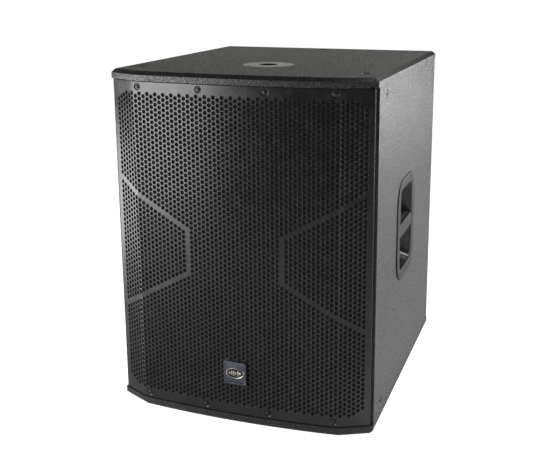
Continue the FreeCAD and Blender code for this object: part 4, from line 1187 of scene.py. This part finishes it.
def cone_profile():
    """A wall that thins towards the neck, with pressed ribs."""
    stations = [(CONE_LIP_R, LIP_DEPTH, EDGE_DEPTH)]
    for share in shares(72):
        radius = CONE_EDGE_R + (NECK_R - CONE_EDGE_R) * share
        ribbed = 0.12 < share < 0.86
        rib = RIB_HEIGHT * math.sin(9 * math.pi * share) ** 2 if ribbed else 0.0
        front = cone_depth(radius) - (1.2 - 0.8 * share) * MM - rib
        stations.append((radius, front, cone_depth(radius) + CONE_WALL - rib))
    return shell(stations)


def cap_profile():
    """A domed shell over the coil, whose rim comes down to the cone."""
    radius = (CAP_EDGE_R**2 + CAP_RISE**2) / (2 * CAP_RISE)
    centre = cone_depth(CAP_EDGE_R) - 1.9 * MM - CAP_RISE + radius
    reach = math.asin((CAP_EDGE_R - 0.5 * MM) / radius)

    def arc(arm):
        angles = [reach * share for share in shares(20)]
        return [(arm * math.sin(angle), centre - arm * math.cos(angle)) for angle in angles]

    return [*arc(radius), *reversed(arc(radius - CAP_WALL))]


def surround_profile():
    """Two rolls between the cone's lip and the frame's landing."""
    start = CONE_LIP_R + 0.5 * MM
    stations = [(CONE_EDGE_R, -2.1 * MM - SURROUND_WALL, -2.1 * MM)]
    for share in shares(36):
        radius = start + (ROLL_OUTER_R - start) * share
        depth = (-2.1 - 2.0 * share) * MM - ROLL_RISE * math.sin(2 * math.pi * share) ** 2
        stations.append((radius, depth - SURROUND_WALL, depth))
    stations.append((LANDING_R, -4.1 * MM - SURROUND_WALL, -4.1 * MM))
    return shell(stations)


def spider_profile():
    """A corrugated disc round the coil."""
    inner, outer = SPIDER_R
    stations = []
    for share in shares(60):
        waved = 0.08 < share < 0.82
        depth = SPIDER_DEPTH + (SPIDER_WAVE * math.sin(10 * math.pi * share) if waved else 0.0)
        stations.append((inner + (outer - inner) * share, depth, depth + SPIDER_WALL))
    return shell(stations)


def turned_piece(name, node, profile):
    bm = bmesh.new()
    revolve(bm, profile, AXIS, steps=144)
    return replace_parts(add_piece(name, bm, (SLOT_OF[node],), CONE_BODY, 50.0), node)


def suspension(name, node, profile):
    """A ring cut into equal sectors, each a separate piece."""
    half = math.degrees(HALF_SECTOR)
    for k in range(SECTORS):
        angle = 2 * math.pi * k / SECTORS
        bm = bmesh.new()
        revolve(bm, profile, AXIS, math.degrees(angle) - half, math.degrees(angle) + half, 8)
        sector = add_piece(f"{name}_{k + 1}", bm, (SLOT_OF[node],), None, 60.0)
        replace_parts(sector, node)
        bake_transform(sector)


turned_piece("ribbed_cone", "cone", cone_profile())
turned_piece("domed_cap", "dust_cap", cap_profile())
suspension("surround_sector", "surround", surround_profile())
suspension("spider_sector", "spider", spider_profile())
for node in ("woofer_frame", "magnet_top_plate", "magnet_ring", "magnet_yoke"):
    softened(node, 0.6 * MM)
BOLT_HEAD = ((2.9, -36), (2.9, -6), (5.0, -6), (5.0, -0.5), (4.6, 0.0))
screw_set("woofer_socket_bolts", "woofer_bolts", BOLT_HEAD, 2.5, 3.0)


# Rear module: plate, heatsink, sockets, inlet and controls

PLATE_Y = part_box("amp_plate")[1].y
for node, radius in (
    ("amp_plate", 0.5), ("heatsink", 0.4), ("signal_inputs", 0.35), ("power_switch_frame", 0.35),
):
    softened(node, radius * MM)


FITTING_WIDTH = 20 * MM  # a fitting's body is wider than this, and its loose contacts aren't
RECESS_DEPTH = 5 * MM
SOCKET_SCREW = (9.7 * MM, 12.2 * MM)  # from a round socket's middle
INLET_SCREW = 20 * MM
SCREW_SEAT = 2.1 * MM  # just over the sockets' 2 mm flanges, and sunk in the inlet's 2.5 mm one


def centres(node, least_width):
    """The middles of a node's separate solids that are wide enough."""
    return [(low + high) / 2 for low, high in loose_parts(node) if high.x - low.x > least_width]


def metal_pins(node, half_width, half_height):
    """Softens a connector and gives the contacts inside its recesses a metal finish."""
    piece = softened(node, 0.3 * MM)
    middles = centres(node, FITTING_WIDTH)

    def is_contact(face):
        recess_floor = face.normal.y > 0.5 and face.center.y < PLATE_Y - RECESS_DEPTH
        if recess_floor:
            return False
        for middle in middles:
            offset = face.center - middle
            if abs(offset.x) < half_width and abs(offset.z) < half_height:
                return face.center.y < PLATE_Y and abs(face.normal.y) > -0.5
        return False

    paint_faces(piece, "zinc_steel", is_contact)


metal_pins("signal_outputs", 6.2 * MM, 6.2 * MM)
metal_pins("mains_inlet", 9.0 * MM, 5.0 * MM)

SMALL_HEAD = ((1.2, -6), (1.2, 0.0), (2.5, 0.05), (2.5, 0.7), (2.1, 1.1), (1.5, 1.25))
bm = bmesh.new()
OUTWARD = Vector((0, 1, 0))
flange_screws = []
for node in ("signal_inputs", "signal_outputs"):
    for middle in centres(node, FITTING_WIDTH):
        for way in (-1, 1):
            flange_screws.append(middle + Vector((way * SOCKET_SCREW[0], 0, -way * SOCKET_SCREW[1])))
for middle in centres("mains_inlet", FITTING_WIDTH):
    flange_screws += [middle + Vector((way * INLET_SCREW, 0, 0)) for way in (-1, 1)]
for point in flange_screws:
    point.y = PLATE_Y + SCREW_SEAT
    add_screw(bm, point, -OUTWARD, [(r * MM, h * MM) for r, h in SMALL_HEAD], 0.8 * MM, 0.8 * MM)
bmesh.ops.recalc_face_normals(bm, faces=bm.faces)
add_piece("module_flange_screws", bm, ("black_screw",))


# Knobs: a skirt with fine ribs and a pale pointer

KNOB_PROFILE = (
    # radius, height over the skirt's underside, depth of the ribs
    (3.0, -17.0, 0.0), (3.0, 0.0, 0.0), (8.6, 0.0, 0.0), (9.0, 0.4, 0.0), (9.0, 1.6, 0.0),
    (8.5, 2.0, 0.0), (8.0, 2.3, 0.45), (7.7, 9.6, 0.45), (7.5, 10.4, 0.1), (6.9, 11.1, 0.0),
    (6.2, 11.3, 0.0), (5.4, 11.0, 0.0),
)
KNOB_RIBS = 24
KNOB_GAP = 4 * MM
KNOB_TOP = PLATE_Y + KNOB_GAP + KNOB_PROFILE[-1][1] * MM
MARKING_LARGEST_FACE = 8 * MM**2  # the cap itself is larger
POINTER = ((-0.55, 1.2), (0.55, 1.2), (0.55, 6.6), (-0.55, 6.6))


def is_knob_marking(face):
    """True for the pointer's faces and for the narrow ring round the cap's edge."""
    return abs(face.center.y - KNOB_TOP) < 0.4 * MM and face.area < MARKING_LARGEST_FACE


def make_knob(node):
    low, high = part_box(node)
    middle = (low + high) / 2
    bm = bmesh.new()
    loops = []
    for radius, height, rib in KNOB_PROFILE:
        loop = []
        for k in range(4 * KNOB_RIBS):
            angle = math.pi * k / (2 * KNOB_RIBS)
            reach = (radius - (rib if k % 4 < 2 else 0.0)) * MM
            x = middle.x + reach * math.cos(angle)
            z = middle.z + reach * math.sin(angle)
            loop.append(Vector((x, PLATE_Y + KNOB_GAP + height * MM, z)))
        loops.append(loop)
    loft(bm, loops)
    loops = []
    for y in (KNOB_TOP - 0.3 * MM, KNOB_TOP + 0.25 * MM):
        loops.append([Vector((middle.x + u * MM, y, middle.z + v * MM)) for u, v in POINTER])
    loft(bm, loops)
    bmesh.ops.recalc_face_normals(bm, faces=bm.faces)
    knob = add_piece(f"{node}_ribbed", bm, ("knob_plastic",), node)
    paint_faces(knob, "panel_print", is_knob_marking)
    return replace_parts(knob, node)


for node in ("level_knob", "crossover_knob"):
    make_knob(node)


# Printed marks on the module's plate: dial ticks and frames round the groups

PRINT = 0.08 * MM
DIAL_R = 10.8 * MM
DIAL_TICKS = 11
DIAL_SWEEP = 300
FRAMED_GROUPS = (
    ("signal_inputs", "signal_outputs"),
    ("mains_inlet",),
    ("power_switch_frame",),
    ("status_lenses",),
)


def stripe(bm, start, stop, width, surface=PLATE_Y):
    """A thin printed line between two points (x, z) on a plane that faces the rear."""
    along = (Vector(stop) - Vector(start)).normalized() * (width / 2)
    side = Vector((-along.y, along.x))
    corners = [Vector(start) - side, Vector(stop) - side, Vector(stop) + side, Vector(start) + side]
    loops = [[Vector((p.x, surface + lift, p.y)) for p in corners] for lift in (-PRINT, PRINT)]
    loft(bm, loops)


def print_dial(bm, middle):
    """Ticks round a knob, longer at the ends and the middle of its sweep."""
    centre = Vector((middle.x, middle.z))
    for k in range(DIAL_TICKS):
        angle = math.radians(90 + DIAL_SWEEP / 2 - DIAL_SWEEP * k / (DIAL_TICKS - 1))
        ray = Vector((math.cos(angle), math.sin(angle)))
        length = 3.2 * MM if k % 5 == 0 else 1.8 * MM
        stripe(bm, centre + ray * DIAL_R, centre + ray * (DIAL_R + length), 0.55 * MM)


def print_frame(bm, low, high, margin):
    """A rectangle round a group of fittings."""
    x0, x1 = low.x - margin, high.x + margin
    z0, z1 = low.z - margin, high.z + margin
    corners = [(x0, z0), (x1, z0), (x1, z1), (x0, z1)]
    for a, b in zip(corners, corners[1:] + corners[:1]):
        stripe(bm, a, b, 0.6 * MM)


bm = bmesh.new()
for node in ("level_knob", "crossover_knob"):
    low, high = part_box(node)
    print_dial(bm, (low + high) / 2)
for nodes in FRAMED_GROUPS:
    boxes = [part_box(node) for node in nodes]
    low = Vector([min(b[0][i] for b in boxes) for i in range(3)])
    high = Vector([max(b[1][i] for b in boxes) for i in range(3)])
    print_frame(bm, low, high, 4.5 * MM)
bmesh.ops.recalc_face_normals(bm, faces=bm.faces)
marks = add_piece("module_print", bm, ("amp_metal",))
paint_faces(marks, "panel_print", lambda face: True)


# Rocker with a bar and a ring on its two halves, and the polarity button

rocker = softened("power_rocker", 0.4 * MM, body="power_rocker")
softened("polarity_button", 0.4 * MM, body="polarity_button")


def pressed_faces(piece, least_area):
    """The middles and normals of a piece's large faces that look to the rear."""
    found = []
    for face in piece.data.polygons:
        if face.area > least_area and face.normal.y > 0.8:
            found.append((face.center.copy(), face.normal.copy()))
    return sorted(found, key=lambda pair: pair[0].z)


PAD_AREA = 80 * MM**2  # the rocker's two pressed faces are larger
RING_SECTION = ((2.6, -0.05), (2.6, 0.1), (2.0, 0.1), (2.0, -0.05))
BAR_OUTLINE = ((-0.35, -2.5), (0.35, -2.5), (0.35, 2.5), (-0.35, 2.5))

bm = bmesh.new()
(ring_middle, ring_normal), (bar_middle, bar_normal) = pressed_faces(rocker, PAD_AREA)
rows = [turned_loop(ring_middle, -ring_normal, r * MM, h * MM) for r, h in RING_SECTION]
loft(bm, [*rows, rows[0]], cap=False)
first = Vector((1, 0, 0))
second = bar_normal.cross(first)
loops = []
for lift in (-0.05, 0.1):
    base = bar_middle + bar_normal * lift * MM
    loops.append([base + first * u * MM + second * v * MM for u, v in BAR_OUTLINE])
loft(bm, loops)
bmesh.ops.remove_doubles(bm, verts=bm.verts, dist=1e-7)
bmesh.ops.recalc_face_normals(bm, faces=bm.faces)
rocker_marks = add_piece("rocker_marks", bm, ("knob_plastic",), "power_rocker")
paint_faces(rocker_marks, "panel_print", lambda face: True)


# Feet

for node in NODE_SLOTS["foot_rubber"]:
    softened(node, 0.8 * MM)


# Floor, light and camera

FLOOR_SIZE = 90.0


def floor_material(albedo, glow):
    """Matt and pale. It glows to the camera only, so that it doesn't light the object from below."""
    material = bpy.data.materials.new("pale_floor")
    material.use_nodes = True
    nodes = material.node_tree.nodes
    links = material.node_tree.links
    shader = nodes["Principled BSDF"]
    set_socket(shader, "Base Color", (albedo, albedo, albedo, 1.0))
    set_socket(shader, "Roughness", 0.9)
    set_socket(shader, "Specular IOR Level", 0.2)
    set_socket(shader, "Emission Color", (1.0, 1.0, 1.0, 1.0))
    seen = nodes.new("ShaderNodeLightPath")
    share = nodes.new("ShaderNodeMath")
    share.operation = "MULTIPLY"
    share.inputs[1].default_value = glow
    links.new(seen.outputs["Is Camera Ray"], share.inputs[0])
    links.new(share.outputs["Value"], shader.inputs["Emission Strength"])
    return material


floor_mesh = bpy.data.meshes.new("floor")
half = FLOOR_SIZE / 2
floor_corners = [(-half, -half, 0), (half, -half, 0), (half, half, 0), (-half, half, 0)]
floor_mesh.from_pydata(floor_corners, [], [(0, 1, 2, 3)])
floor_mesh.materials.append(floor_material(0.7, 1.0))
floor = bpy.data.objects.new("floor", floor_mesh)
bpy.context.scene.collection.objects.link(floor)


def softbox(name, location, target, width, height, radiance, colour=(1, 1, 1)):
    """A rectangular lamp of a given brightness, aimed at a point."""
    light = bpy.data.lights.new(name, "AREA")
    light.shape = "RECTANGLE"
    light.size = width
    light.size_y = height
    light.energy = radiance * math.pi * width * height
    light.color = colour
    lamp = bpy.data.objects.new(name, light)
    lamp.location = location
    lamp.rotation_mode = "QUATERNION"
    lamp.rotation_quaternion = (Vector(target) - Vector(location)).to_track_quat("-Z", "Y")
    lamp.visible_camera = False
    bpy.context.scene.collection.objects.link(lamp)


MIDDLE = (0.0, 0.0, 0.35)
softbox("key_left_front", (-1.22, -1.15, 0.5), MIDDLE, 1.4, 0.9, 7.6, (0.97, 0.98, 1.0))
softbox("facet_left", (-1.25, -0.45, 0.2), (-0.24, -0.27, 0.3), 0.6, 0.36, 5.0, (0.97, 0.98, 1.0))
softbox("side_right_rear", (1.45, 1.8, 0.42), (0.26, -0.1, 0.4), 1.0, 0.6, 8.5)
softbox("floor_bounce", (0.96, 0.45, 0.01), (0.96, 0.45, 1.0), 1.38, 1.9, 0.32)
softbox("side_right", (2.2, 0.6, 0.8), (0.26, 0.0, 0.35), 0.8, 1.4, 3.0)
softbox("bend_glint", (2.0, -0.75, 0.4), (0.26, -0.3, 0.35), 0.3, 1.3, 12.0)
softbox("top_rear", (-0.85, 2.4, 1.05), (0.0, 0.0, 0.68), 2.2, 0.5, 0.68, (1.0, 1.0, 0.93))
softbox("pocket_front", (0.5, -1.3, 0.25), (0.26, 0.0, 0.35), 0.22, 0.3, 6.0)
softbox("pocket_above", (0.6, -0.02, 0.95), (0.26, 0.02, 0.33), 0.4, 0.5, 7.0)

world = bpy.data.worlds.new("studio")
world.use_nodes = True
tree = world.node_tree
tree.nodes.clear()
output = tree.nodes.new("ShaderNodeOutputWorld")
seen = tree.nodes.new("ShaderNodeBackground")
lit = tree.nodes.new("ShaderNodeBackground")
set_socket(seen, "Color", (1, 1, 1, 1))
set_socket(lit, "Color", (0.06, 0.06, 0.058, 1))
mix = tree.nodes.new("ShaderNodeMixShader")
path = tree.nodes.new("ShaderNodeLightPath")
tree.links.new(path.outputs["Is Camera Ray"], mix.inputs[0])
tree.links.new(lit.outputs[0], mix.inputs[1])
tree.links.new(seen.outputs[0], mix.inputs[2])
tree.links.new(mix.outputs[0], output.inputs[0])
bpy.context.scene.world = world
bpy.context.scene.view_settings.view_transform = "Standard"

camera_data = bpy.data.cameras.new("camera")
camera_data.lens = 56.5
camera_data.sensor_width = 36.0
camera_data.shift_x = -0.031
camera_data.shift_y = -0.09
camera = bpy.data.objects.new("camera", camera_data)
camera.location = (0.5928, -1.7041, 0.8497)
camera.rotation_euler = Euler((math.radians(77.008), math.radians(0.168), math.radians(18.770)))
bpy.context.scene.collection.objects.link(camera)
bpy.context.scene.camera = camera
